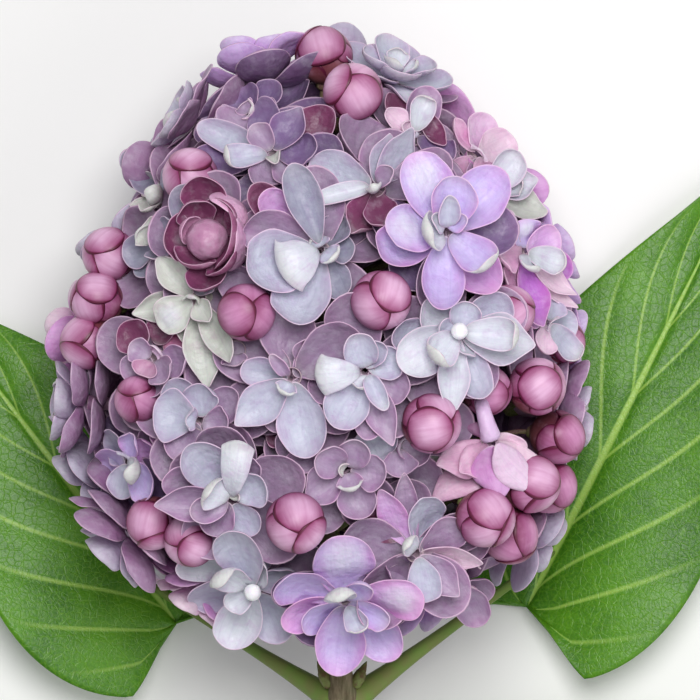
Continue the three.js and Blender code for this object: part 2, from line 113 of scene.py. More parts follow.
def finish(name, roughness, specular=0.3):
    """A new material with its shader, a helper that adds a node and gives one of its outputs, and a
    helper that leads an output into the shader."""
    material = bpy.data.materials.new(name)
    material.use_nodes = True
    tree = material.node_tree
    shader = tree.nodes["Principled BSDF"]
    shader.inputs["Roughness"].default_value = roughness
    shader.inputs["Specular IOR Level"].default_value = specular

    def add(kind, values=(), output=0, **settings):
        node = tree.nodes.new("ShaderNode" + kind)
        for key, value in settings.items():
            setattr(node, key, value)
        for key, value in dict(values).items():
            if isinstance(value, bpy.types.NodeSocket):
                tree.links.new(value, node.inputs[key])
            else:
                node.inputs[key].default_value = value
        return node.outputs[output]

    def link(output, socket):
        tree.links.new(output, shader.inputs[socket])

    return material, shader, add, link


def blend(add, share, first, second, kind="MIX"):
    """Two colours mixed by a share, each an output or a plain colour."""
    return add("Mix", {0: share, 6: first, 7: second}, output=2, data_type="RGBA", blend_type=kind)


def ramp(add, value, stops):
    """A share from 0 to 1 read off a value by its stops."""
    share = add("ValToRGB", {"Fac": value})
    elements = share.node.color_ramp.elements
    elements[0].position, elements[1].position = stops[0][0], stops[-1][0]
    for place, level in stops[1:-1]:
        elements.new(place)
    for element, (place, level) in zip(elements, stops):
        element.position, element.color = place, (level, level, level, 1)
    return share


def speckle(add, place, scale, detail, **more):
    return add("TexNoise", {"Vector": place, "Scale": scale, "Detail": detail, **more})


def stretched(add, place, scale):
    return add("Mapping", {"Vector": place, "Scale": scale})


def reckon(add, operation, *values):
    return add("Math", dict(enumerate(values)), operation=operation)


def bump(add, height, strength, depth, **under):
    """Fine relief, its depth in mm."""
    return add("Bump", {"Strength": strength, "Distance": depth * MM, "Height": height, **under})


def mottled(name, roughness, scale, stops, first, second, strength):
    """A finish in fine mottles of two colours, a little raised."""
    material, _, add, link = finish(name, roughness)
    mottle = speckle(add, add("TexCoord", output="Object"), scale, 4)
    link(blend(add, ramp(add, mottle, stops), colour(first), colour(second)), "Base Color")
    link(bump(add, mottle, strength, 0.2), "Normal")
    return material


def cross_axes(axis, turn=0):
    """The two directions square to an axis that the rings round it are counted from."""
    start = Vector((0, 1, 0)) if abs(axis.y) < 0.9 else Vector((0, 0, 1))
    u = start.cross(axis).normalized()
    u.rotate(Matrix.Rotation(turn, 3, axis))
    return u, axis.cross(u)


def sleeve(bm, stations, sides, closed=True, shape=None):
    """A round shaft drawn out of one ring, through stations of a centre and a radius."""
    rings = []
    for i, (centre, radius) in enumerate(stations):
        before, after = stations[max(i - 1, 0)][0], stations[min(i + 1, len(stations) - 1)][0]
        u, v = cross_axes((after - before).normalized())
        if not rings:
            verts = bmesh.ops.create_circle(bm, segments=sides, radius=1)["verts"]
            edges = list(dict.fromkeys(edge for vert in verts for edge in vert.link_edges))
        else:
            made = bmesh.ops.extrude_edge_only(bm, edges=edges)["geom"]
            verts = [g for g in made if isinstance(g, bmesh.types.BMVert)]
            edges = [g for g in made if isinstance(g, bmesh.types.BMEdge)
                     and all(vert in set(verts) for vert in g.verts)]
            order = {vert: k for k, vert in enumerate(rings[-1])}
            partner = {}
            for vert in verts:
                for edge in vert.link_edges:
                    other = edge.other_vert(vert)
                    if other in order:
                        partner[vert] = order[other]
            verts.sort(key=partner.get)
        for k, vert in enumerate(verts):
            angle = 2 * math.pi * k / sides
            reach = radius * (shape(i, k) if shape else 1)
            vert.co = at(centre + reach * (u * math.cos(angle) + v * math.sin(angle)))
        rings.append(list(verts))
    if closed:
        bmesh.ops.contextual_create(bm, geom=rings[0])
        bmesh.ops.contextual_create(bm, geom=rings[-1])
    return rings


def settled(bm, lowest=0.0):
    """The faces turned outwards and nothing left below the surface that the stem lies on."""
    bmesh.ops.recalc_face_normals(bm, faces=bm.faces[:])
    for vert in bm.verts:
        vert.co.z = max(vert.co.z, lowest * MM)


def order_of(part):
    """A number that puts edges or faces in the order of their corners."""
    low, second, *others = sorted(vert.index for vert in part.verts)
    return (low * 1e5 + second) * 1e5 + (others[0] if others else 0)


def piece(bm, name, materials, nodes):
    """A finished piece of the stem, its parts in the same order on every run, with what it stands for."""
    bm.verts.index_update()
    bm.edges.sort(key=order_of)
    bm.faces.sort(key=order_of)
    mesh = bpy.data.meshes.new(name)
    bm.to_mesh(mesh)
    bm.free()
    for material in materials:
        mesh.materials.append(material)
    mesh.polygons.foreach_set("use_smooth", [True] * len(mesh.polygons))
    made = bpy.data.objects.new(name, mesh)
    scene.collection.objects.link(made)
    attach(made, "root")
    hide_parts(*nodes)
    return made


BARK_STEP, BARK_SIDES, RIDGES, KNOTS, FADE_LENGTH = 1.2, 28, 0.07, 0.06, 40
BARED, BARED_FACE = 4, 0.5  # how near the cut bark can be bared, and how wide such a face is
# Where along y the bark begins to turn green, is all green, and then darkens towards the tip
WOODY_TO, FRESH_FROM, TIP_FROM, TIP_TO = -64, -40, 10, 42
bark, _, add, link = finish("bark", 0.75)
place = add("TexCoord", output="Object")
along = add("SeparateXYZ", {"Vector": place}, output="Y")


def share_between(low, high):
    ends = {"From Min": at(Vector((0, low, 0))).y, "From Max": at(Vector((0, high, 0))).y}
    return add("MapRange", {"Value": along, **ends})


grain = speckle(add, stretched(add, place, (1, 0.18, 1)), 1400, 6, Roughness=0.65)
patches = speckle(add, place, 260, 4)
woody = blend(add, ramp(add, grain, [(0.35, 0), (0.65, 1)]), colour("5B4C38"), colour("94866B"))
woody = blend(add, ramp(add, patches, [(0.45, 0), (0.7, 0.7)]), woody, colour("6E7350"))
pores = add("TexVoronoi", {"Vector": stretched(add, place, (1, 0.45, 1)), "Scale": 520})
pore = ramp(add, pores, [(0.12, 1), (0.2, 0)])
woody = blend(add, pore, woody, colour("C9BB9B"))
fresh = blend(add, ramp(add, grain, [(0.3, 0), (0.7, 1)]), colour("6F7F3E"), colour("8B6F6B"))
fresh = blend(add, share_between(TIP_FROM, TIP_TO), fresh, colour("5A3038"))
link(blend(add, share_between(WOODY_TO, FRESH_FROM), woody, fresh), "Base Color")
link(bump(add, reckon(add, "ADD", grain, pore), 0.5, 0.3), "Normal")

cut_wood = mottled("cut_wood", 0.8, 2500, [(0.3, 0), (0.7, 1)], "CDBB8C", "E4D8B2", 0.4)
pith, _, add, link = finish("pith", 0.95)
sponge = add("TexVoronoi", {"Vector": add("TexCoord", output="Object"), "Scale": 4000})
link(blend(add, sponge, colour("8D7A55"), colour("C7B68C")), "Base Color")
link(bump(add, sponge, 0.6, 0.2), "Normal")

bm = bmesh.new()
steps = round((TIP - CUT_END) / BARK_STEP)
heights = [CUT_END + (TIP - CUT_END) * i / steps for i in range(steps + 1)]


def bark_relief(i, k):
    """Shallow ridges along the twig, fading out where it turns into the smooth rachis."""
    y, angle = heights[i], 2 * math.pi * k / BARK_SIDES
    fade = min(1, max(0.25, (FRESH_FROM - y) / FADE_LENGTH))
    ridge = noise.noise(Vector((3 * math.cos(angle), y * 0.05, 3 * math.sin(angle))))
    knot = noise.noise(Vector((5 * math.cos(angle), y * 0.45, 5 * math.sin(angle))))
    return 1 + fade * (RIDGES * ridge + KNOTS * max(0, knot))


rings = sleeve(bm, [(stem_centre(y), stem_radius(y)) for y in heights], BARK_SIDES, closed=False,
               shape=bark_relief)
for vert in rings[0]:
    vert.co.y += CUT_SLANT * (vert.co.z - at(stem_centre(CUT_END)).z)
cut = bmesh.ops.contextual_create(bm, geom=rings[0])["faces"]
end = bmesh.ops.contextual_create(bm, geom=rings[-1])["faces"]
bmesh.ops.recalc_face_normals(bm, faces=bm.faces[:])
# From the bark inwards the cut shows a ring of wood and then the sunken pith
for thickness, depth, index in ((0.35, 0, 1), (1.6, -0.15, 2)):
    bmesh.ops.inset_region(bm, faces=cut, thickness=thickness * MM, depth=depth * MM, use_even_offset=True)
    for face in cut:
        face.material_index = index
# Bark close to the cut that faces down the twig is bared too
for face in bm.faces:
    near_cut = all(vert.co.y < at(Vector((0, CUT_END + BARED, 0))).y for vert in face.verts)
    wide = max((vert.co - face.calc_center_median()).length for vert in face.verts) > BARED_FACE * MM
    if near_cut and wide and face.normal.y < -0.6 and face.material_index == 0 and len(face.verts) == 4:
        face.material_index = 1
bmesh.ops.inset_region(bm, faces=end, thickness=0.35 * MM, depth=0.4 * MM)
for vert in bm.verts:
    vert.co.z = max(vert.co.z, 0)
piece(bm, "twig", [bark, cut_wood, pith], ["stem"])

# In the axil of each leaf sits a small pointed bud for next year, wrapped in brown-green scales
AXIL_UP, AXIL_OUT, AXIL_LENGTH, AXIL_RADIUS = 3.5, 0.9, 5.4, 1.25
AXIL_PROFILE = ((0, 0.6), (0.12, 0.9), (0.35, 1), (0.6, 0.8), (0.62, 0.68), (0.85, 0.36), (1, 0.05))
bud_scales = mottled("bud_scales", 0.5, 900, [(0.4, 0), (0.62, 1)], "6E5A3C", "7E8A4C", 0.4)
bm = bmesh.new()
for y in NODE_Y:
    for side in (-1, 1):
        foot = stem_centre(y + AXIL_UP) + Vector((side * stem_radius(y + AXIL_UP) * AXIL_OUT, 0, 0.4))
        ahead = Vector((side * 0.5, 1, -0.15)).normalized() * AXIL_LENGTH
        sleeve(bm, [(foot + ahead * t, AXIL_RADIUS * wide) for t, wide in AXIL_PROFILE], 12)
bmesh.ops.recalc_face_normals(bm, faces=bm.faces[:])
piece(bm, "axil_buds", [bud_scales], ["stem"])

# ---- Where the blooms and buds grow ----------------------------------------------------------
# The panicle is an egg of blooms and buds that face outwards. Those on the upper side stand in
# their own places; the rest fill a spiral round the egg wherever there is room for one.

# Each bloom's x, y, how far it stands out of the egg and how its face leans in x and y, its mix of
# tones, and its petals: the place of each one's tip from the throat (x, y and how far above the face),
# its width, its form and its tone
UPPER_BLOOMS = [
    (-11.8, 35.2, 0, -0.2, 0.3, "purple", [
        (-8.7, -1.8, 2.5, 5, "hook", "grey"), (-14.7, -0.9, 0, 7, "broad", "purple"),
        (-13.4, 4.9, 1, 5.5, "broad", "grey"), (-9.4, 8.5, -0.5, 6, "broad", "mauve"),
        (-2.7, 10.4, 0, 6.5, "broad", "purple"), (5.4, 8.3, 1, 7, "blade", "purple"),
        (8.6, 0.9, 0, 7, "broad", "purple"), (5.5, -5.5, 0, 6, "broad", "mauve"),
        (-1.5, -6.5, 0, 6.5, "broad", "mauve"), (1.2, -2.4, 2, 3, "strip", "greenish"),
        (-3.2, 4.6, 2, 5, "hood", "mauve"), (11, 8, -3, 7.5, "cupped", "plum")]),
    (6.3, 28.8, 1, -0.7, 0.35, "mauve", [
        (-11.8, 4.2, 4.6, 7.6, "broad", "grey"), (-11.6, -3.6, 2.6, 3.8, "strip", "white"),
        (-9, -6.5, 1.6, 5, "broad", "lilac"), (-4.2, -9, 1, 5.5, "blade", "plum"),
        (-5.4, 10.3, 0, 6.5, "broad", "mauve"), (3.1, 9.4, 1, 5, "blade", "grey"),
        (7.1, 10.3, 0.5, 5, "blade", "grey"), (0.5, -1.8, 3, 3, "hook", "white"),
        (4.2, 2.5, 2, 4, "hood", "mauve"), (-8.5, 0.5, -1, 6, "broad", "plum"),
        (2, -8, 0.4, 6, "broad", "plum")]),
    (17.7, 19.8, 4, 0.05, 0, "violet", [
        (-6.5, 14, 1, 8.6, "puffed", "violet"), (10.3, 10.7, 1, 9.6, "broad", "violet"),
        (-13.3, -3.6, -1, 8.5, "broad", "violet"), (-11.6, 0.6, 1.2, 8, "puffed", "violet"),
        (-1.3, -14.7, 1.6, 8, "broad", "violet"), (8.5, -11.2, -0.3, 8.8, "broad", "lilac"),
        (1.3, 10, 3.6, 8.8, "hood", "violet"), (7.6, -7.6, 2.6, 7.4, "hook", "violet"),
        (-5.8, -1, 3.2, 7.4, "hook", "white"), (0.2, 6.8, 4.6, 4, "strip", "grey"),
        (-3.4, 3.2, 4.2, 3.6, "strip", "white"), (3.6, 3, 4, 3.4, "strip", "violet")]),
    (20, 2.9, 3, 0, 0, "white", [
        (-6.7, 4.9, -0.5, 7.5, "broad", "white"), (-11, -6.5, 0.3, 8, "puffed", "white"),
        (-12.4, -1.5, -0.8, 6.5, "broad", "grey"), (-5.9, -6, 2.2, 6.4, "hook", "white"),
        (-1.6, -15.4, 1.2, 6, "blade", "white"), (4.5, -12.5, -0.5, 6.4, "broad", "grey"),
        (13.8, -2.6, -0.5, 9.8, "blade", "white"), (10.4, -0.9, 2.2, 6.2, "hook", "white"),
        (9.8, 5.5, -0.6, 7, "broad", "grey"), (1.8, 5.5, 0.5, 6.5, "hood", "grey"),
        (3.4, -4.6, 1.6, 4.4, "blade", "white"), (-4.4, 0.6, 1.4, 4.4, "hood", "grey"),
        (0, 0, 3, 3, "knob", "white")]),
    (-2.9, 17.3, 2, 0.2, -0.05, "grey", [
        (-5.6, 15.2, 1.5, 6.4, "spoon", "greyed"), (-10.7, 10.3, -0.8, 6.5, "broad", "lilac"),
        (-13, 11.4, -2, 6.5, "broad", "plum"), (-14.2, 4, 0, 8.5, "broad", "mauve"),
        (-14, -4.2, 1.6, 11.5, "broad", "grey"), (-6.3, -13.8, 0.2, 10.5, "broad", "grey"),
        (-6.8, -3.6, 3.2, 8, "cap", "white"), (-1.3, 3.1, 2.6, 4.2, "hook", "grey"),
        (3, -2.4, 2.6, 4.4, "hook", "grey"), (6, 0.5, -0.6, 6, "broad", "greyed"),
        (3.8, -9, -1.4, 6, "broad", "greyed"), (4, 7, -1, 6, "blade", "greyed")]),
    (-22.3, 18.9, 2, -0.1, 0, "plum", [
        (-1.2, 11.8, 4.2, 8.5, "cupped", "plum"), (-3.2, 7.2, 4.6, 7.5, "cupped", "plum"),
        (-8.3, 0.8, 3, 9, "cupped", "plum"), (-4.8, 2.8, 5, 5.5, "cupped", "dusty"),
        (-3.6, -4.8, 3.8, 8.5, "cupped", "plum"), (4.9, 0.4, 5.2, 12, "cupped", "plum"),
        (-0.6, -9.4, 2, 7.5, "cupped", "plum"), (4, 6.4, 4.6, 8, "cupped", "plum"),
        (3.9, -4.8, 4.2, 8, "cupped", "plum"), (-5.5, 9.7, -0.5, 7, "broad", "greyed"),
        (5.4, -0.6, 4.4, 10, "leaning", "pink"), (3.6, 5.4, 5, 8.5, "leaning", "pink"),
        (0, 0, 1.6, 7.4, "knob", "dusty")]),
    (-36.8, 29.5, -3, -0.2, 0.1, "greyed", [
        (5.5, 6, 1, 5, "blade", "greyed"), (1.5, 9, 0.5, 5, "broad", "greyed"),
        (-3.5, 5, 1, 5, "blade", "greenish"), (-4.5, -1.5, 2, 4.5, "blade", "greenish"),
        (0, -4, 2.5, 4, "hood", "greenish"), (2.5, -1, 2.5, 4, "hook", "greenish"),
        (-6, 9, -1, 6, "broad", "greyed"), (5, 1, 0, 5, "broad", "greyed")]),
    (-33.9, 20, -2, -0.2, -0.2, "greyed", [
        (-6.2, -2.5, 0, 6.2, "broad", "greyed"), (-4.5, -5.6, 0.3, 6.2, "broad", "greyed"),
        (0.3, -6.2, 0.6, 6, "broad", "greyed"), (4.6, -3.5, 0.8, 6, "broad", "greyed"),
        (5.2, 1.8, 1.6, 7, "spoon", "greyed"), (1.5, -3, 2, 5, "hood", "greyed"),
        (-3, 2.4, 2.4, 5, "hook", "greenish"), (-1, 5, 0.6, 5, "blade", "greenish")]),
    (-25.5, 9.3, 0, -0.4, -0.3, "green_white", [
        (-7, 7.6, 1, 5.6, "blade", "greenish"), (-11, -2.8, 0.5, 5.6, "blade", "greenish"),
        (-6.4, -5, 2, 6, "puffed", "greenish"), (3, -4.4, 2.6, 4.4, "blade", "greenish"),
        (2.6, -16.6, 1.6, 7, "blade", "greenish"), (7.4, -12, 2, 5.4, "blade", "greenish"),
        (-0.8, -8.6, -1, 5.6, "broad", "greenish"), (-0.5, 0.6, 2.4, 3.6, "hook", "greenish"),
        (2, 5, -0.5, 6, "broad", "grey"), (-8, -9, -1.5, 6, "broad", "mauve")]),
    (-33.6, -1.4, -1, -0.2, 0, "dusk", [
        (-3.8, 2.5, 1.4, 5, "hood", "mauve"), (1.5, 1.5, 1.6, 5, "hood", "blush"),
        (-2, -3.6, 2, 5, "spoon", "dusty"), (3.5, -4.2, 1, 6, "spoon", "mauve"),
        (-6, 6, 0.4, 7, "cupped", "plum"), (1.5, 8.4, 0.4, 6, "cupped", "plum"),
        (6.6, -1, 0, 6, "broad", "mauve"), (5.5, 4.5, 0, 6, "cupped", "rose"),
        (-5.8, -3, 0.5, 5.5, "broad", "mauve"), (0, -7.5, 0, 6, "broad", "mauve")]),
    (-18.9, 0, -2, -0.1, -0.4, "grey", [
        (-3, -9, 0.3, 7, "broad", "grey"), (9, -3.6, -1, 6, "broad", "grey"),
        (-7, -4.6, -0.5, 6, "broad", "mauve"), (4, -9, 0, 6.5, "broad", "mauve"),
        (4, 2, -0.5, 6, "broad", "mauve"), (-5, 3, -0.5, 6, "broad", "grey"),
        (0.6, -3, 0.6, 5, "hood", "mauve")]),
    (4.6, -3.9, 2, -0.1, -0.2, "grey", [
        (-1.8, 7.6, 1, 6.6, "hood", "grey"), (2.6, 5.8, 0.6, 4.6, "broad", "grey"),
        (-8.5, -0.7, 3, 5.8, "cap", "white"), (-5.8, -10.2, 1.5, 8.2, "broad", "grey"),
        (0.9, -12.3, -0.4, 5.8, "broad", "mauve"), (4.9, -13.2, 0.6, 5.8, "blade", "mauve"),
        (3.8, -7, 2, 3.6, "strip", "grey"), (0.2, -4, 2.6, 5, "hook", "white"),
        (-10.3, -4, -1.8, 6.4, "broad", "mauve"), (-13, 4.3, -0.8, 6.4, "broad", "mauve"),
        (7.6, -4.4, -0.8, 6.6, "broad", "mauve"), (7, 2.6, -0.6, 6, "broad", "grey")]),
    (-8.2, -5, 1, -0.2, -0.4, "grey", [
        (-10, -8.4, 2, 7.8, "blade", "grey"), (3.6, -14.3, 1.2, 8.8, "broad", "grey"),
        (-9, 1.6, -1.4, 5.4, "broad", "grey"), (-3.6, 4.5, 0.6, 2.4, "strip", "mauve"),
        (4.9, -5.6, -0.8, 6, "broad", "mauve"), (-3, -9.6, -1, 6.6, "broad", "mauve"),
        (4.4, 3.4, -0.8, 5, "broad", "mauve"), (-1.4, -3, 2, 4, "hook", "grey")]),
    (-17.9, -25.7, 3, 0.1, -0.1, "grey", [
        (-7.6, 10.5, 1, 8.6, "broad", "grey"), (1.2, 10, 2.4, 4.8, "cap", "white"),
        (3.9, 8.4, 0, 5.6, "broad", "mauve"), (-5.4, 3.1, 3.4, 6.2, "hook", "white"),
        (-14, -0.6, 0.2, 6.4, "blade", "mauve"), (-12.5, 4, -0.8, 7.4, "broad", "mauve"),
        (-7.6, -2, 1.4, 5.2, "hood", "mauve"), (6.5, 3.7, 1.2, 6.8, "broad", "grey"),
        (-4.5, -6, -0.6, 6.4, "broad", "mauve"), (3.5, -6.5, -0.6, 6.4, "broad", "grey"),
        (0.6, 2.4, 2, 2.6, "strip", "greenish")]),
    (-24.6, -12.5, 0, -0.1, 0.2, "grey", [
        (-8.5, 1.5, 0.8, 9.5, "broad", "grey"), (0.5, 6.8, 0.8, 7, "broad", "grey"),
        (5.5, -1.5, 0.4, 6.6, "broad", "mauve"), (-5, -7, -0.5, 7, "broad", "mauve"),
        (3, -7.5, -1, 6.5, "broad", "mauve"), (-6, 6.8, -0.4, 6.5, "broad", "grey"),
        (-2.6, 0.5, 2, 4.4, "hood", "grey"), (7.5, 4.5, -1, 6.5, "broad", "mauve")]),
    (1.8, -22, -3, 0, 0, "mauve", [
        (-6, 3.5, 1.6, 6.6, "hood", "mauve"), (2.4, 6.4, 1.4, 6.4, "hood", "mauve"),
        (7.4, -0.8, 1, 6.6, "broad", "mauve"), (1, -4, 2, 5, "hook", "mauve"),
        (-7.5, -4.5, 0.4, 7, "broad", "mauve"), (3, -9, 0, 7, "broad", "mauve"),
        (-8.5, 8, 0, 7, "broad", "lilac"), (8.5, 7.5, -0.4, 7, "broad", "grey"),
        (-1.6, 0.8, 2.4, 2.6, "strip", "greenish")]),
    (-15, -42.3, 1, 0, -0.1, "white", [
        (-4, 13.6, 7, 8.6, "spoon", "grey"), (1.4, 13, 5.5, 7, "broad", "grey"),
        (-6.9, 5.6, 2.6, 6.2, "hook", "white"), (-14.2, 5.6, 0, 6.8, "broad", "white"),
        (1, 7.6, 1.6, 5.4, "hood", "white"), (7.5, 2.5, 1.4, 6, "broad", "grey"),
        (-12, -3.5, 0, 8, "broad", "grey"), (-5, -10.5, 0.4, 8.4, "broad", "white"),
        (5, -9.5, 0, 8, "broad", "grey"), (-5, -2.4, 2, 5, "hood", "white"),
        (0, 0, 3, 3.1, "knob", "white")]),
    (1.1, -42.9, 3, 0, 0, "violet", [
        (-0.5, 13.4, 1.4, 10.4, "puffed", "violet"), (-13.4, 3.8, 1, 8.4, "broad", "violet"),
        (-11.4, -4, -0.8, 7, "broad", "lilac"), (14.5, 1.3, 1, 8.6, "puffed", "lilac"),
        (-1.7, 4.7, 3, 6, "hook", "white"), (8, -2.9, 2, 5.6, "hood", "violet"),
        (-7.4, -5.6, 1.2, 6.4, "broad", "violet"), (-1.6, -13, 0.4, 9, "broad", "violet"),
        (9, -10, 0, 8.6, "broad", "violet"), (3, -4.5, 2.6, 4.4, "hook", "grey"),
        (4.5, 6, 1.4, 5, "hood", "violet")]),
    (13.9, -35.7, 1, 0.15, 0.6, "mauve", [
        (-2.9, 15, 1.2, 5, "blade", "mauve"), (-7.4, 12, 0.2, 5, "blade", "lilac"),
        (-9.8, 8, -0.8, 6, "cupped", "plum"), (3.1, 10.4, 1, 7, "broad", "grey"),
        (8.8, 4.9, 0.6, 6.6, "broad", "mauve"), (12.2, 4.2, -0.5, 6, "broad", "mauve"),
        (-3.3, 2.9, 2.6, 4, "hook", "white"), (7.4, -8, 0, 6.4, "blade", "mauve"),
        (2.2, -9.4, 0.2, 6, "broad", "grey"), (11.8, -2.2, -0.4, 4.4, "blade", "rose_white"),
        (-3.5, -6, -0.4, 6.4, "broad", "mauve")]),
    (26.3, -16, 2, 0.1, -0.9, "lilac_back", [
        (2.2, -10.6, 4.4, 8.4, "drooping", "lilac"), (-11.2, -11, -2.5, 7, "drooping", "pink"),
        (-6, -5.4, 0.6, 5.4, "drooping", "pink"), (9, -9.4, 3.4, 6, "drooping", "blush"),
        (12, -5, 0.4, 5, "drooping", "rose_white"), (-3.4, -11.6, -2, 7, "drooping", "pink"),
        (-10, -3.8, -2, 6, "drooping", "pink"), (7, 0.4, -1.4, 5, "drooping", "rose_white")]),
    (33, 17.5, 1, 0.5, 0, "lilac", [
        (-5.8, 1.6, 3, 10, "broad", "pink"), (-0.4, 6, 2.6, 7, "puffed", "violet"),
        (5, 2.4, 2.8, 6.6, "hood", "lilac"), (1.6, -4.6, 3.6, 7.6, "hook", "white"),
        (5.4, -2.6, 2.6, 5.4, "hook", "white"), (-3.2, -8.4, 1.8, 7, "blade", "pink"),
        (9, -8, 1, 5, "blade", "rose_white"), (9.2, -10.4, 0.2, 4.6, "blade", "rose_white"),
        (2.4, -14.6, 0.6, 7, "blade", "magenta"), (8.4, -3.8, 0, 6.6, "broad", "magenta"),
        (-4, -4, 1, 6.4, "cupped", "lilac"), (-3.6, 6, 4.4, 2.6, "knob", "rose_white")]),
    (38.2, 5, 0, 0.6, -0.3, "white", [
        (4.8, -1.2, 1, 6.4, "broad", "grey"), (3.2, -5.4, 0.6, 5, "hook", "grey"),
        (-1.4, -5.8, 0, 5.4, "broad", "rose_white"), (-4.2, -3, 0, 5.4, "broad", "mauve"),
        (1.5, 5, 0.4, 5.4, "broad", "grey"), (-4, 3, 0, 5.5, "broad", "lilac"),
        (1, -1, 2, 4, "hook", "white")]),
    (13.8, 38.9, 0, 0.3, 0.4, "mauve", [
        (-5.5, 4.5, 1.5, 4.8, "blade", "rose_white"), (-2.2, 2.4, 1.4, 4.8, "hood", "rose_white"),
        (1.5, 5.5, 2, 4.6, "hook", "white"), (0.8, 0.4, 2.5, 4, "blade", "grey"),
        (5.2, 1.6, 1, 8, "cupped", "plum"), (3.6, -4, 0.4, 6.4, "cupped", "mauve"),
        (3, 8.4, 0, 6.4, "broad", "mauve"), (-3.5, 8.4, 0, 6.4, "broad", "plum"),
        (7.4, -4.5, 0, 6, "broad", "purple")]),
    (25.4, 35.7, 0, 0.4, 0.4, "lilac", [
        (4.2, -5, 2.4, 9, "broad", "pink"), (2, 7, 1.6, 7.4, "broad", "blush"),
        (-4.6, 6.4, 1.4, 5.4, "blade", "pink"), (-3.4, -6, 2, 6.4, "broad", "pink"),
        (-9, -2.6, 0, 6.6, "broad", "purple"), (6.6, 2.4, 0.8, 7, "broad", "rose_white"),
        (0.6, 0.6, 2.6, 5, "hood", "blush"), (1, -9, 0, 6, "broad", "mauve")]),
    (33.8, 30.7, -3, 0.5, 0.3, "green_white", [
        (4.5, 7, 8, 7, "hood", "white"), (10.5, -4.6, 6.4, 7.4, "blade", "greenish"),
        (8.8, 2, 7, 6.6, "blade", "white"), (5, 1, 7.4, 5, "hook", "white"),
        (-3.4, -3.4, 2, 5.6, "broad", "mauve"), (-5.4, 1.5, 1.6, 5.4, "broad", "rose_white"),
        (3.4, 4.8, 3, 6, "broad", "greenish")]),
    (-39.8, -20.5, -2, -0.4, 0.1, "violet", [
        (-5.6, 3.6, 1.2, 7, "broad", "grey"), (1.5, 5.4, 1.2, 5, "blade", "violet"),
        (4.6, -2.6, 2, 4.6, "hook", "white"), (5, -6.8, 0.6, 6.4, "broad", "violet"),
        (-1, -7, 0.4, 6.4, "broad", "grey"), (-6.4, -2, 0, 6.4, "broad", "violet"),
        (5.8, 2, 0, 6, "broad", "lilac"), (0.5, 0.5, 2.4, 4, "hood", "grey")]),
    (-32.5, -13.9, -4, -0.1, 0, "dusk", [
        (3, 2, 0.6, 8, "broad", "purple"), (4.6, -4.6, 0.8, 8, "broad", "purple"),
        (-2, -4.8, 1, 5, "blade", "lilac"), (-4.6, 1, 0.6, 5.6, "cupped", "plum"),
        (-5.4, -5, 0, 6, "broad", "mauve"), (-2, 6.4, 1, 6, "cupped", "rose"),
        (3, 6.6, 0, 6, "broad", "mauve"), (0, 1, 1.8, 4, "hood", "greenish")]),
    (-6.8, -17, -4, 0, 0, "dusk", [
        (-4.8, -1.5, 1, 6.4, "broad", "mauve"), (0.5, -5.8, 1.2, 7, "broad", "mauve"),
        (-6.8, 3.4, 0.4, 6, "broad", "plum"), (4.8, -3, 0.8, 6.4, "broad", "mauve"),
        (5.4, 3.2, 0, 6.4, "broad", "mauve"), (0, 4.8, 0, 6.4, "broad", "mauve"),
        (1, -1, 1.6, 4.4, "hood", "greyed")]),
    (11.6, -17.6, -4, 0, 0.1, "dusk", [
        (-3.8, 3.4, 1, 6.4, "broad", "purple"), (3.2, 4, 0.8, 6.4, "broad", "purple"),
        (6, -1.6, 0.4, 6.4, "broad", "mauve"), (0.5, -6, 0.6, 6.4, "broad", "mauve"),
        (-5.4, -2.6, 0.4, 6.4, "broad", "plum"), (0, 0, 1.4, 4.4, "hood", "mauve")]),
    (23.6, -42.9, 0, 0.1, -0.4, "grey", [
        (-5, 6.4, 1.2, 6.4, "broad", "purple"), (2.5, 4.8, 1.4, 5.4, "blade", "rose_white"),
        (1, -1.8, 1.8, 4.8, "hook", "rose_white"), (-2, -6.4, 0.8, 6.4, "drooping", "grey"),
        (5.4, -2.5, 0.4, 6.4, "broad", "mauve"), (4, -7.4, 0, 6.4, "broad", "mauve"),
        (-6.4, 0, 0, 6.4, "broad", "mauve")]),
    (-16.6, 44.2, -2, -0.1, 0.4, "purple", [
        (5.4, -1, 1.2, 6.6, "blade", "purple"), (-1, -5.4, 0.4, 6.4, "broad", "mauve"),
        (-6.4, -2.5, 0.4, 6.4, "broad", "mauve"), (-3, 5.4, 0.4, 6.8, "broad", "purple"),
        (4.4, 6, 0.4, 6.8, "broad", "purple"), (0.5, 0.5, 2, 4.6, "hook", "rose_white"),
        (-1.8, 1.5, 1.8, 4, "hood", "mauve")]),
]
# x, y, how far each bud stands out of the egg, its radius and its tone
UPPER_BUDS = [
    (-15.7, 6.3, 2, 5.2, "deep_rose"), (7.1, 8.2, 3, 5.4, "rose"), (-7.3, -29.3, 3, 5.4, "rose"),
    (15.7, -12.8, 2, 5.4, "rose"), (34.8, -6.6, 1, 5.3, "rose"), (28.2, -7.2, -3, 4.6, "deep_rose"),
    (2.7, 45.7, 1, 5.4, "rose"), (-43, 17.3, 0, 5, "rose"), (-43.8, 9, 0, 5, "rose"),
    (-45.4, 1.6, 0, 5, "rose"), (-36.5, -9, -1, 4.2, "deep_rose"), (-32.7, -30.4, 1, 4.8, "rose"),
    (-26, -33.5, 1, 4.8, "rose"), (39.6, -15.7, 0, 5, "deep_rose"), (39.6, -24.5, 0, 5.2, "deep_rose"),
    (30.2, -32.7, 1, 5.2, "deep_rose"),
]
FILL_PLACES, FILL_SEED, FILL_BUDS, FILL_BASE, FILL_LEAN = 1500, 2027, 0.04, 2.68, 0.28
UPPER_RADIUS, UPWARDS = 11.5, 0.3  # radius of the upper blooms, and how far all the upper faces lean up
SPACING = dict(bloom=7.9, bud=4.8)


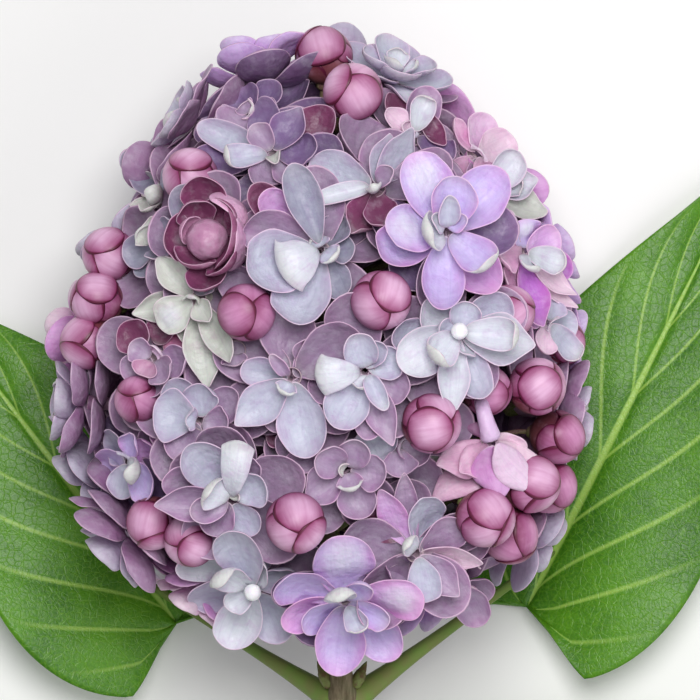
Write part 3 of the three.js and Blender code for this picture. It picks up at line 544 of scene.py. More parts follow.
def egg_point(polar, turn):
    r = math.sin(polar)
    half_height = HEAD["half_height"] if math.cos(turn) > 0 else HEAD["under_height"]
    return Vector((HEAD["x"] + HEAD["half_width"] * r * math.sin(turn),
                   HEAD["y"] + HEAD["half_length"] * math.cos(polar) - HEAD["skew"] * r * r,
                   max(AXIS_HEIGHT + half_height * r * math.cos(turn), HEAD["rest_height"])))


def egg_normal(polar, turn):
    along_turn = Vector((HEAD["half_width"] * math.cos(turn), 0, -HEAD["half_height"] * math.sin(turn)))
    along_polar = Vector((HEAD["half_width"] * math.cos(polar) * math.sin(turn),
                          -math.sin(polar) * (HEAD["half_length"] + 2 * HEAD["skew"] * math.cos(polar)),
                          HEAD["half_height"] * math.cos(polar) * math.cos(turn)))
    return along_polar.cross(along_turn).normalized()


def upper_angles(x, y):
    """The egg's two angles at a place on its upper side, seen from above."""
    reach = HEAD["half_length"] ** 2 + 4 * HEAD["skew"] * (HEAD["skew"] + y - HEAD["y"])
    polar = math.acos((math.sqrt(reach) - HEAD["half_length"]) / (2 * HEAD["skew"]))
    side = (x - HEAD["x"]) / (HEAD["half_width"] * math.sin(polar))
    return polar, math.asin(min(0.98, max(-0.98, side)))


def placed(kind, angles, out, lean, **looks):
    normal = egg_normal(*angles)
    return dict(kind=kind, normal=normal, stands_out=out, centre=egg_point(*angles) + normal * out,
                axis=(normal + lean).normalized(), spacing=SPACING[kind], **looks)


def random_numbers(seed):
    """Park and Miller's random numbers, the same on every run."""
    state = seed
    while True:
        state = state * 16807 % 2147483647
        yield state / 2147483647


items = []
for x, y, out, lean_x, lean_y, looks, petals in UPPER_BLOOMS:
    items.append(placed("bloom", upper_angles(x, y), out, Vector((lean_x, lean_y, UPWARDS)), looks=looks,
                        petals=petals, radius=UPPER_RADIUS, spin=0))
for x, y, out, radius, tone in UPPER_BUDS:
    items.append(placed("bud", upper_angles(x, y), out, UP * UPWARDS, radius=radius, looks=tone, spin=x))
draw = random_numbers(FILL_SEED)
for kind_here in ("bloom", "bud"):
    for i in range(FILL_PLACES):
        polar = math.acos(1 - 2 * (i + 0.5) / FILL_PLACES)
        turn = i * math.pi * (3 - math.sqrt(5))
        kind = "bud" if kind_here == "bloom" and next(draw) < FILL_BUDS else kind_here
        lean = Vector([next(draw) - 0.5 for _ in range(3)]) * 2 * FILL_LEAN
        size, spin = next(draw), next(draw) * 2 * math.pi
        radius = 10 + 2 * size if kind == "bloom" else 4.4 + size
        item = placed(kind, (polar, turn), 2 * size - 1, lean, radius=radius, spin=spin, looks=None,
                      petals=None)
        free = all((other["centre"] - item["centre"]).length > other["spacing"] + item["spacing"]
                   for other in items)
        if free and polar < FILL_BASE:
            items.append(item)

# ---- Side branches, pedicels and calyces -----------------------------------------------------
# Opposite pairs of thin branches leave the rachis, each pair across the one below it. They fork
# into hair-thin green pedicels, each with a small four-toothed calyx that holds one bloom or bud.

PAIRS, BASE_ANGLE, STEP_ANGLE, HUB_DEPTH, RISE, BARE = 8, 143, 16, 0.5, 9, 0.55
NECK_DEPTH, TUBE_LENGTH, BUD_NECK = 2.8, 7, 5.4
branches = []
for pair in range(PAIRS):
    polar = math.radians(BASE_ANGLE - STEP_ANGLE * pair)
    for side in (0, math.pi):
        outer = egg_point(polar, math.pi / 4 + pair % 2 * math.pi / 2 + side)
        hub = stem_centre(outer.y).lerp(outer, HUB_DEPTH)
        branches.append((stem_centre(min(outer.y - RISE, TIP - 2)), hub))
branches.append((stem_centre(TIP - 2), stem_centre(TIP + 2)))

for item in items:
    depth = NECK_DEPTH + TUBE_LENGTH if item["kind"] == "bloom" else BUD_NECK
    inner = item["centre"] - item["normal"] * depth
    lengths = [(hub - inner).length for _, hub in branches]
    item["branch"] = lengths.index(min(lengths))
    start, hub = branches[item["branch"]]
    first = start.lerp(hub, BARE)
    way = hub - first
    share = min(1, max(0, (inner - first).dot(way) / way.length_squared))
    item["root"] = first + way * share
    if item["kind"] == "bloom":
        item["neck"] = item["centre"] - item["axis"] * NECK_DEPTH
        item["seat"] = item["neck"] - item["normal"] * TUBE_LENGTH
    else:
        item["seat"] = item["centre"] - item["axis"] * BUD_NECK

stalk_green, _, add, link = finish("stalk_green", 0.6)
place = add("TexCoord", output="Object")
fine = speckle(add, place, 3500, 3)
flush = ramp(add, speckle(add, place, 180, 3), [(0.42, 0), (0.62, 1)])
base = blend(add, flush, colour("6E7B3C"), colour("7A4A55"))
link(blend(add, ramp(add, fine, [(0.4, 0), (0.75, 0.5)]), base, colour("A9A77A")), "Base Color")
link(bump(add, fine, 0.3, 0.1), "Normal")

BRANCH_RADII, PEDICEL_RADII, SHAFT_STEPS = (1.25, 0.85), (0.75, 0.5), (0, 0.3, 0.6, 0.85, 1)
SAG, SWEEP = 0.06, 0.3  # how deep a branch sags and how far a pedicel bends, as shares of their lengths
# A calyx's heights from its seat with its radius at each, and how far its teeth and notches reach
CALYX = ((-0.9, 0.55), (-0.3, 1.25), (0.9, 1.45), (1.0, 1.3), (0.2, 0.9))
TOOTH, NOTCH = 0.9, -0.3


def tapered(radii, t):
    return radii[0] + (radii[1] - radii[0]) * t


for number, (start, hub) in enumerate(branches, 1):
    bm = bmesh.new()
    sag = (hub - start).length * SAG * UP
    sleeve(bm, [(start.lerp(hub, t) - sag * math.sin(math.pi * t), tapered(BRANCH_RADII, t))
                for t in SHAFT_STEPS], 8)
    for item in items:
        if item["branch"] != number - 1:
            continue
        root, seat = item["root"], item["seat"]
        aim = seat - item["normal"] * (seat - root).length * SWEEP
        sleeve(bm, [(root.lerp(aim, t).lerp(aim.lerp(seat, t), t), tapered(PEDICEL_RADII, t))
                    for t in SHAFT_STEPS], 6)
        towards = item["normal"] if item["kind"] == "bloom" else item["axis"]
        cup = sleeve(bm, [(seat + towards * up, wide) for up, wide in CALYX], 8)
        for k, vert in enumerate(cup[2] + cup[3]):
            vert.co += towards * MM * (TOOTH if k % 2 else NOTCH)
    settled(bm, 0.1)
    piece(bm, f"stalks_{number:02d}", [stalk_green], [f"spray_{number:02d}"])

# ---- Double blooms ---------------------------------------------------------------------------
# Each bloom is a thin lilac tube that opens into several whorls of soft petals: broad outer ones
# with a fine raised rim, and smaller hooded or hooked ones curled over the dark throat.

GRID, LINE_STEPS = 6, 24  # steps along a petal and across it, and along the line down its middle
PETAL_THICKNESS, LOWEST = 0.28, 0.33
CLEARANCE, DEEPEST = 0.45, 5  # from one petal to the next below, and how far one is bent down for it
EASING_ROUNDS, EASED = 3, 0.9  # how often and how much of a bend passes on to the places beside it
FOOT_OUT = dict(cupped=0.28, leaning=1.4)  # how far out upright petals stand, as a share of their tips
LIES_ON_TOP = dict(cap=6, hook=2.5, hood=1.5, strip=4, spoon=2)  # small inner petals lie on broad ones
# How deep every petal's middle is creased and its face crumpled, in mm, how uneven its outline is as a
# share of its width, and how much wider than asked for it is drawn
CREASE, CRUMPLE, UNEVEN, SPREAD = 0.3, 0.5, 0.12, 1.2
# The dome tint is a painted highlight on the top of a puffed blister
DOME_HIGHLIGHT_TINT, PALE_TINT, THROAT_TINT_AND_SHADE = "E6E4F0", "D5D6D2", "7D7C78"
# How a petal bows along its length and cups across it, how high it is puffed up, how far its tip curls
# over and from where along it, how pointed, wavy and square it is, the height of its rim, how wide its
# base is, and how pale its tip grows
FORMS = dict(
    broad=(-0.13, 1.20, 0.0, 0.55, 0.50, 0.00, 0.8, 0.0, 0.40, 0.55, 0.05),
    spoon=(0.03, 1.25, 0.0, 1.10, 0.60, 0.00, 0.5, 0.0, 0.40, 0.40, 0.15),
    puffed=(0.02, 0.70, 1.5, 0.30, 0.60, 0.00, 0.9, 0.0, 0.50, 0.60, 0.10),
    blade=(-0.08, 1.35, 0.0, 0.50, 0.55, 0.75, 0.6, 0.0, 0.35, 0.55, 0.20),
    hood=(0.08, 1.55, 0.0, 1.50, 0.50, 0.05, 0.4, 0.0, 0.30, 0.70, 0.30),
    hook=(0.05, 1.35, 0.0, 3.00, 0.46, 0.10, 0.3, 0.2, 0.30, 0.65, 0.95),
    cap=(0.16, -0.90, 0.3, -1.10, 0.55, -0.35, 0.2, 0.75, 0.10, 0.45, 0.60),
    strip=(0.08, 1.60, 0.0, 0.90, 0.50, 0.30, 0.2, 0.0, 0.15, 0.80, 0.35),
    cupped=(-0.22, 1.30, 0.0, 0.50, 0.60, 0.10, 0.4, 0.0, 0.25, 0.75, 0.00),
    leaning=(0.10, -1.30, 0.0, -0.20, 0.60, 0.00, 0.4, 0.0, 0.10, 0.80, 0.00),
    drooping=(0.12, 0.90, 0.0, 0.30, 0.60, 0.70, 0.5, 0.0, 0.25, 0.50, 0.10),
)
# Colours of a petal's face, of its face near the rim, and of its back
TONES = dict(
    violet=("CCBCEA", "D8A6DE", "C692CE"), lilac=("DBAEE2", "E3A2DA", "D08CC6"),
    magenta=("BE74CC", "C674C2", "BA64AC"), grey=("BFC1D2", "C6B6D0", "AE96B4"),
    white=("D6D9E2", "D6CEDE", "C6BECE"), mauve=("AA93B0", "B992B8", "A06E98"),
    purple=("836C96", "92729E", "7C567F"), plum=("7A4061", "945078", "B8749A"),
    dusty=("C08CAC", "C898B6", "B47C9C"), rose=("D683B0", "E49CC0", "C87098"),
    rose_white=("E8CADD", "EACADE", "EDCBDD"), pink=("E2AFD0", "EAB8D8", "E6B6D2"),
    blush=("E6C4E2", "EAC8E2", "ECCDE6"), greenish=("C9CCC3", "CFCFC8", "B3B5A9"),
    greyed=("9A9AAE", "A49CB2", "8A7C96"),
)
# Tones of the outer, middle and inner petals of a bloom that isn't described petal by petal
MIXES = dict(
    violet=("violet", "violet", "white"), lilac=("lilac", "rose_white", "rose_white"),
    purple=("purple", "mauve", "grey"), grey=("grey", "grey", "white"), white=("white", "grey", "white"),
    mauve=("mauve", "grey", "white"), greyed=("greyed", "grey", "greenish"),
    dusk=("mauve", "mauve", "greyed"), green_white=("greenish", "greenish", "white"),
    lilac_back=("lilac", "lilac", "rose_white"),
)
MIX_ORDER = ("grey", "violet", "lilac", "mauve", "white", "grey", "mauve", "lilac", "violet", "grey")


def mixed(first, second, share):
    share = min(1, max(0, share))
    return tuple(a + (b - a) * share for a, b in zip(first, second))


def smooth(low, high, value):
    t = min(1, max(0, (value - low) / (high - low)))
    return t * t * (3 - 2 * t)


def rough(*place):
    return noise.noise(Vector(place))


# A colour scaled by a factor: painted shade inside the tubes and on the under petals, and elsewhere only a
# small random difference in tone
def shaded(tint, depth):
    return tuple(c * depth for c in tint[:3]) + (1,)


def grow_petal(base, tip, up, width, form, tone, seed, steps=GRID, shade=1):
    """One petal worked out on a small grid, from its base to its tip, with its face towards up: each
    grid point's place, how far along the petal it is, and the tints of its face and back."""
    bow, cup, dome, curl, turn_from, point, wave, square, lip, claw, pale = FORMS[form]
    along = tip - base
    length = along.length
    along.normalize()
    across = along.cross(up).normalized()
    normal = across.cross(along)
    face_tone, edge_tone, back_tone = [colour(c) for c in TONES[tone]]
    # A shade below 1 darkens the petal as painted shade; on top of it the tone differs a little at random
    tint = shade * (1 + 0.10 * rough(seed, 0.5, 3.1))
    # the line down the middle, bowed and then curled
    line, angle_at = [(0.0, 0.0)], []
    for k in range(LINE_STEPS):
        t = (k + 0.5) / LINE_STEPS
        angle = math.atan(4 * bow * (1 - 2 * t)) + curl * max(0, (t - turn_from) / (1 - turn_from)) ** 1.3
        angle_at.append(angle)
        line.append((line[-1][0] + math.cos(angle) / LINE_STEPS, line[-1][1] + math.sin(angle) / LINE_STEPS))
    stretch = length / max(x for x, _ in line)
    places, shares, faces, backs = [], [], [], []
    for row in range(steps + 1):
        for column in range(steps + 1):
            a, b = 2 * column / steps - 1, 2 * row / steps - 1
            edge = max(abs(a), b)
            a, b = a * (1.6 - 0.6 * abs(a)), b * (1.6 - 0.6 * abs(b)) if b > 0 else b
            soft = 1 - square * smooth(-0.2, 0.6, b)
            round_a, round_b = a * math.sqrt(1 - b * b / 2), b * math.sqrt(1 - a * a / 2)
            a, b = a + soft * (round_a - a), b + soft * (round_b - b)
            t = (b + 1) / 2
            profile = (claw + (1 - claw) * smooth(0, 0.55, t)) * (1 - point * smooth(0.55, 1.05, t))
            profile *= 1 + UNEVEN * rough(t * 2.5, seed, 2 if a > 0 else -2)
            k = min(LINE_STEPS - 1, int(t * LINE_STEPS))
            share = t * LINE_STEPS - k
            x = (line[k][0] + (line[k + 1][0] - line[k][0]) * share) * stretch
            h = (line[k][1] + (line[k + 1][1] - line[k][1]) * share) * stretch
            fold = cup * (0.5 + 0.5 * t)
            reach = width / 2 * profile * SPREAD
            side, rise = reach * math.sin(fold * a) / fold, reach * (1 - math.cos(fold * a)) / fold
            blister = smooth(0, 1, 1 - ((t - 0.64) / 0.34) ** 2 - (a / 0.78) ** 2)
            rise += dome * blister + lip * smooth(0.75, 1, edge) * smooth(0, 0.3, t)
            rise -= CREASE * math.exp(-(a / 0.2) ** 2) * smooth(0.05, 0.3, t) * (1 - smooth(0.7, 0.95, t))
            rise += CRUMPLE * rough(a * 1.3 + seed, b * 1.5, seed * 0.7)
            rise += wave * edge ** 3 * rough(a * 2.2, b * 2.2 + seed * 3.1, seed)
            lifted = normal * math.cos(angle_at[k]) - along * math.sin(angle_at[k])
            places.append(base + along * x + normal * h + across * side + lifted * rise)
            shares.append(t)
            flush = 0.5 + 0.9 * rough(a * 1.3, t * 2.2, seed * 1.7)
            near_edge = smooth(0.3, 1, edge) * 0.85 * (0.4 + flush) + 0.25 * (flush - 0.4)
            face = mixed(face_tone, edge_tone, near_edge)
            # The top of a puffed blister is lightened as a painted highlight
            face = mixed(face, colour(DOME_HIGHLIGHT_TINT), 0.7 * blister * (dome > 0))
            face = mixed(face, colour(PALE_TINT), pale * smooth(0.6, 0.95, t))
            # Towards the throat the face darkens to grey: partly the petal's own greyer base, partly painted
            # shade from the throat
            face = mixed(mixed(face, colour(THROAT_TINT_AND_SHADE), 0.55), face, smooth(0, 0.22, t))
            back = mixed(back_tone, face_tone, 0.25 + 0.3 * smooth(0.3, 1, t))
            back = mixed(back, colour(PALE_TINT), pale * smooth(0.45, 0.85, t))
            faces.append(shaded(face, tint))
            backs.append(shaded(back, tint))
    return dict(places=places, shares=shares, faces=faces, backs=backs, steps=steps, form=form)


def laid_under(petal, direction, laid):
    """Bends a petal down wherever it would pass through one that lies higher."""
    places, steps = petal["places"], petal["steps"]
    row_length = steps + 1
    quads = [(k, k + 1, k + 1 + row_length, k + row_length) for k in range(len(places) - row_length)
             if k % row_length < steps]
    middle = sum(places, Vector()) / len(places)
    size = max((place - middle).length for place in places)
    tests = [(place, (k,)) for k, place in enumerate(places)]
    tests += [(sum((places[k] for k in quad), Vector()) / 4, quad) for quad in quads]
    drops = [0.0] * len(places)
    for other_middle, other_size, tree in laid:
        if (other_middle - middle).length > size + other_size or petal["stays"]:
            continue
        for place, owners in tests:
            drop = tree.ray_cast(place + direction * CLEARANCE, -direction, DEEPEST)[3]
            if drop is not None:
                for k in owners:
                    drops[k] = max(drops[k], drop * smooth(0.05, 0.35, petal["shares"][k]))
    for _ in range(EASING_ROUNDS):
        eased = list(drops)
        for k in range(len(drops)):
            near = [k + step for step in (-row_length, row_length) if 0 <= k + step < len(drops)]
            near += [k + step for step in (-1, 1) if 0 <= k % row_length + step <= steps]
            eased[k] = max(drops[k], EASED * sum(drops[other] for other in near) / len(near))
        drops = eased
    for k, drop in enumerate(drops):
        places[k] -= direction * drop
        places[k].z = max(places[k].z, LOWEST)
    laid.append((middle, size + DEEPEST / 2, BVHTree.FromPolygons(places, quads)))


def petal_layers(bm):
    """The layers that petal finishes read: the place on the petal and the tints of its face and back."""
    return (bm.loops.layers.uv.new("petal"), bm.verts.layers.float_color.new("face_tint"),
            bm.verts.layers.float_color.new("back_tint"))


def draw_petal(bm, layers, petal):
    """A petal as a small mesh with its place along and across it and its tints."""
    uv_layer, face_layer, back_layer = layers
    steps = petal["steps"]
    for vert in bmesh.ops.create_grid(bm, x_segments=steps, y_segments=steps, size=1)["verts"]:
        across, along = (vert.co.x + 1) / 2, (vert.co.y + 1) / 2
        k = round(along * steps) * (steps + 1) + round(across * steps)
        for loop in vert.link_loops:
            loop[uv_layer].uv = (across, along)
        vert.co = at(petal["places"][k])
        vert[face_layer], vert[back_layer] = petal["faces"][k], petal["backs"][k]


def thicken(made, thickness, offset=-1, smoothed=True):
    """Gives an open mesh its thickness in mm, and rounds it off."""
    wall = made.modifiers.new("thickness", "SOLIDIFY")
    wall.thickness, wall.offset = thickness * MM, offset
    if smoothed:
        soften = made.modifiers.new("soften", "SUBSURF")
        soften.levels = soften.render_levels = 1
    return wall


def edge_of(add, uv):
    """How far out a place on a petal is: across it, along it, and along it towards the tip alone."""
    apart = add("SeparateXYZ", {"Vector": uv}).node.outputs
    across, along = [reckon(add, "MULTIPLY_ADD", apart[side], 2.0, -1.0) for side in ("X", "Y")]
    return reckon(add, "ABSOLUTE", across), reckon(add, "ABSOLUTE", along), along


def lit_through(shader, **settings):
    for socket, value in settings.items():
        shader.inputs["Subsurface " + socket].default_value = value


def petal_finish(name, tint_name, roughness, edge_colour=None, edge_share=0.0):
    """Soft petal skin: its own tint, fine veins that fan from the base, faint pink blotches and whitish ones
    that are painted highlights, and cells.
    """
    material, shader, add, link = finish(name, roughness, 0.35)
    lit_through(shader, Weight=0.18, Radius=(0.6, 0.35, 0.5), Scale=0.0012)
    tint, uv = add("Attribute", attribute_name=tint_name), add("UVMap", uv_map="petal")
    place = add("TexCoord", output="Object")
    veins = speckle(add, stretched(add, uv, (22, 1.6, 1)), 1, 3, Distortion=0.4)
    blotches = speckle(add, place, 420, 4, Roughness=0.6)
    cells = speckle(add, place, 5200, 2)
    darker = blend(add, 1.0, tint, colour("D9CDE4"), "MULTIPLY")
    shade = blend(add, ramp(add, veins, [(0.35, 0.22), (0.55, 0)]), tint, darker)
    # Whitish blotches scattered at random are painted highlights
    shade = blend(add, ramp(add, blotches, [(0.5, 0), (0.72, 0.18)]), shade, colour("E9E6F2"))
    flushed = blend(add, 1.0, shade, colour("EBBFE6"), "MULTIPLY")
    shade = blend(add, ramp(add, blotches, [(0.3, 0.35), (0.48, 0)]), shade, flushed)
    if edge_colour:
        across, _, towards_tip = edge_of(add, uv)
        edge = reckon(add, "MAXIMUM", across, towards_tip)
        shade = blend(add, ramp(add, edge, [(0.95, 0), (1.0, edge_share)]), shade, colour(edge_colour))
    link(shade, "Base Color")
    fine = bump(add, reckon(add, "ADD", veins, cells), 0.2, 0.2)
    puckers = speckle(add, place, 700, 2, Roughness=0.4)
    link(bump(add, puckers, 0.4, 0.8, Normal=fine), "Normal")
    return material


petal_face = petal_finish("petal_face", "face_tint", 0.38, "F0D2E6", 0.5)
petal_back = petal_finish("petal_back", "back_tint", 0.45)
petal_rim, _, add, link = finish("petal_rim", 0.5)
fleck = ramp(add, speckle(add, add("TexCoord", output="Object"), 900, 2), [(0.4, 0), (0.8, 0.4)])
rim = blend(add, 0.45, add("Attribute", attribute_name="face_tint"), colour("F4D8EA"))
link(blend(add, fleck, rim, colour("D98CC0")), "Base Color")

# Each ring of a tube: whether it lies between calyx and neck (0) or neck and throat (1) and how far along,
# how wide it is, and how light it is inside, a painted shade that is darkest deep in the tube and lightest at
# its mouth
TUBE = ((0, 0, 0.95, 0.25), (0, 0.5, 0.98, 0.22), (1, 0, 1.15, 0.2), (1, 0.4, 1.4, 0.3), (1, 0.65, 1.7, 0.7))
THROAT_GREEN, TUBE_GREEN = "8B8A6A", "A7A17E"


def tube(bm, layers, item):
    """The corolla tube, open at the throat. Its faces look inwards, as the petals' faces do."""
    joints = (item["seat"], item["neck"], item["centre"])
    rings = sleeve(bm, [(joints[part].lerp(joints[part + 1], share), wide) for part, share, wide, _ in TUBE],
                   10, closed=False)
    for ring, (_, _, _, depth) in zip(rings, TUBE):
        for vert in ring:
            # The inside of the tube is darkened as painted shade
            vert[layers[1]] = shaded(colour(THROAT_GREEN), depth)
            vert[layers[2]] = mixed(colour(TONES[item["tone"]][2]), colour(TUBE_GREEN), 0.4 - depth)
    faces = list(dict.fromkeys(face for ring in rings for vert in ring for face in vert.link_faces))
    bmesh.ops.recalc_face_normals(bm, faces=faces)
    # The first face lies at the narrow end, where the way out from the middle is plain
    outward = faces[0].calc_center_median() - (rings[0][0].co + rings[0][5].co) / 2
    if faces[0].normal.dot(outward) > 0:
        bmesh.ops.reverse_faces(bm, faces=faces)


def knob(bm, layers, centre, width, tone):
    """The round cap of curled stamen petals that closes a throat."""
    made = bmesh.ops.create_icosphere(bm, subdivisions=4 if width > 5 else 3, radius=width / 2 * MM,
                                      matrix=Matrix.Translation(at(centre)))
    for vert in made["verts"]:
        offset = vert.co - at(centre)
        vert.co += offset * 0.08 * noise.noise(offset / MM * 0.6)
        vert[layers[1]] = mixed(colour(TONES[tone][0]), colour("FFFFFF"), 0.9 * (tone == "white"))
        vert[layers[2]] = vert[layers[1]]
        for loop in vert.link_loops:
            loop[layers[0]].uv = (0.5, 0.5)


def slope_of(axis, x, y):
    """Height of a bloom's own plane at a place off its middle, kept within reach."""
    return min(6, max(-9, -(axis.x * x + axis.y * y) / max(axis.z, 0.35)))


# Every bloom's lowest petals, shaded by the others, lie behind it and close the gaps; their colours are
# darkened by a factor as painted shade
UNDER_COUNT, UNDER_WIDTH, UNDER_SHADE = 5, 10.6, 0.86
# The bloom seen from behind: which way its petals face, and its bent tube with its width at each place
BACK_UP = (0, -0.35, -0.94)
BACK_TUBE = (((-2.4, 9.5, -4), 1.1), ((-2, 7.4, -0.8), 1.35), ((-1.4, 4.8, 0.8), 1.5), ((-0.6, 2, 0.9), 1.7),
             ((0, 0, 0.2), 2.4))
# The whorls of a bloom that isn't described petal by petal: how many petals, how far out they reach, how
# high they rise, how broad they are, their form and their steps
WHORLS = ((5, 1.12, 1.6, 0.7, "broad", 5), (4, 0.8, 2.6, 0.58, "hood", 5), (3, 0.42, 3.2, 0.36, "hook", 4))
BLOOM_SEED, PUFFED_SHARE, BROADER = 77, 0.25, 1.15

draw = random_numbers(BLOOM_SEED)
petals_of, knobs_of = {}, {}
for index, item in enumerate(items):
    if item["kind"] != "bloom":
        continue
    centre, axis = item["centre"], item["axis"]
    u, v = cross_axes(axis, item["spin"])
    looks = item["looks"] or MIX_ORDER[index % len(MIX_ORDER)]
    tones = MIXES.get(looks, MIXES["mauve"])
    item["tone"], grown, caps = tones[0], [], []
    up = axis
    if item["petals"]:
        up = Vector(BACK_UP) if looks == "lilac_back" else (axis + UP * 0.8).normalized()
        for k, (x, y, z, width, form, tone) in enumerate(item["petals"]):
            if form == "knob":
                caps.append((centre + axis * 0.5 + Vector((x, y, z - 1)), width, tone))
                continue
            tip = centre + Vector((x, y, z + slope_of(axis, x, y)))
            flat = (tip - centre).normalized()
            base = centre + flat * 0.5 + UP * (0.25 * z - 0.4)
            if form in FOOT_OUT:
                base = centre + Vector((x, y, 0)) * FOOT_OUT[form] - UP * 1.5
            facing = Vector((x, y, 0)).normalized() if form == "leaning" else up
            grown.append(grow_petal(base, tip, facing, width, form, tone, index + k * 0.37))
    else:
        for w, (count, reach, rise, breadth, form, steps) in enumerate(WHORLS):
            for k in range(count):
                angle = 2 * math.pi * (k + 0.5 * w + 0.35 * (next(draw) - 0.5)) / count
                out = item["radius"] * reach * (0.9 + 0.2 * next(draw))
                shape = "puffed" if form == "broad" and next(draw) < PUFFED_SHARE else form
                lift = rise + 1.4 * (next(draw) - 0.5)
                tip = centre + (u * math.cos(angle) + v * math.sin(angle)) * out + axis * lift
                base = centre + (tip - centre).normalized() * 0.6 + axis * (0.4 * w - 0.3)
                width = item["radius"] * breadth * (0.9 + 0.2 * next(draw)) * BROADER
                grown.append(grow_petal(base, tip, axis, width, shape, tones[w], index + w + k * 0.41, steps))
    under_tone = "purple" if tones[0] in ("violet", "purple") else "mauve"
    for k in range(0 if looks == "lilac_back" else UNDER_COUNT):
        angle = 2 * math.pi * (k + 0.25 + 0.4 * (next(draw) - 0.5)) / UNDER_COUNT
        out = item["radius"] * (1.15 + 0.25 * next(draw))
        tip = centre + (u * math.cos(angle) + v * math.sin(angle)) * out - axis * (2.2 + 2 * next(draw))
        grown.append(grow_petal(centre - axis * 2, tip, axis, UNDER_WIDTH, "broad", under_tone,
                                index + k * 0.53, 4, UNDER_SHADE))
    petals_of[index], knobs_of[index] = grown, caps
    for petal in grown:
        off = sum(petal["places"], Vector()) / len(petal["places"]) - centre
        petal["direction"] = -up if looks == "lilac_back" else up
        petal["stays"] = looks == "plum" and petal["form"] in FOOT_OUT
        petal["height"] = (item["stands_out"] + off.dot(item["normal"])
                           + off.length_squared / (2 * AXIS_HEIGHT)
                           + LIES_ON_TOP.get(petal["form"], 0) + 8 * petal["stays"])

laid = []
every_petal = [petal for grown in petals_of.values() for petal in grown]
for petal in sorted(every_petal, key=lambda petal: -petal["height"]):
    laid_under(petal, petal["direction"], laid)

for number in range(1, len(branches) + 1):
    here = [(index, item) for index, item in enumerate(items)
            if item["kind"] == "bloom" and item["branch"] == number - 1]
    if not here:
        continue
    nodes = [f"spray_{number:02d}"]
    bm, knobs = bmesh.new(), bmesh.new()
    layers, knob_layers = petal_layers(bm), petal_layers(knobs)
    for index, item in here:
        tube(bm, layers, item)
        if item["looks"] == "lilac_back":
            for ring in sleeve(bm, [(item["centre"] + Vector(spot), wide) for spot, wide in BACK_TUBE], 10):
                for vert in ring:
                    vert[layers[1]] = vert[layers[2]] = colour("C9A6DE")
        for petal in petals_of[index]:
            draw_petal(bm, layers, petal)
        for place, width, tone in knobs_of[index]:
            knob(knobs, knob_layers, place, width, tone)
    wall = thicken(piece(bm, f"blooms_{number:02d}", [petal_face, petal_back, petal_rim], nodes),
                   PETAL_THICKNESS)
    wall.material_offset, wall.material_offset_rim = 1, 2
    if len(knobs.verts) > 0:
        piece(knobs, f"caps_{number:02d}", [petal_face], nodes)
    else:
        knobs.free()

# ---- Buds ------------------------------------------------------------------------------------
# Closed buds are tight rosy balls of rounded petals wrapped over each other, one of them an oval on
# the top, with thin dark seams between them and browner outer petals round the base.

# Colours of a bud's petals, of the painted highlight on their middles, strongest towards the bud's tip, and
# of the outermost ones at its foot
BUD_TONES = dict(rose=("A84C88", "F4CCEA", "8A5258"), deep_rose=("903E70", "DEA0CA", "744046"))
bud_skin, bud_shader, add, link = finish("bud_skin", 0.4, 0.4)
lit_through(bud_shader, Weight=0.12, Radius=(0.5, 0.35, 0.45), Scale=0.001)
tint, uv = add("Attribute", attribute_name="face_tint"), add("UVMap", uv_map="petal")
streaks = speckle(add, stretched(add, uv, (14, 2, 1)), 1, 3)
blotches = speckle(add, add("TexCoord", output="Object"), 500, 3)
darker = blend(add, 1.0, tint, colour("DDB4CC"), "MULTIPLY")
shade = blend(add, ramp(add, streaks, [(0.35, 0.35), (0.6, 0)]), tint, darker)
shade = blend(add, ramp(add, blotches, [(0.5, 0), (0.75, 0.25)]), shade, colour("E6B6D2"))
across, upright, _ = edge_of(add, uv)
edge = reckon(add, "MAXIMUM", across, upright)
# Each petal darkens towards its edges as painted shade along the seams
painted_seam_shade = blend(add, 1.0, shade, colour("B8628F"), "MULTIPLY")
shade = blend(add, ramp(add, edge, [(0.3, 0), (0.92, 0.7)]), shade, painted_seam_shade)
seam = ramp(add, edge, [(0.86, 0), (0.92, 0.8), (0.97, 1)])
link(blend(add, seam, shade, colour("5E1A36")), "Base Color")
link(bump(add, streaks, 0.2, 0.2), "Normal")

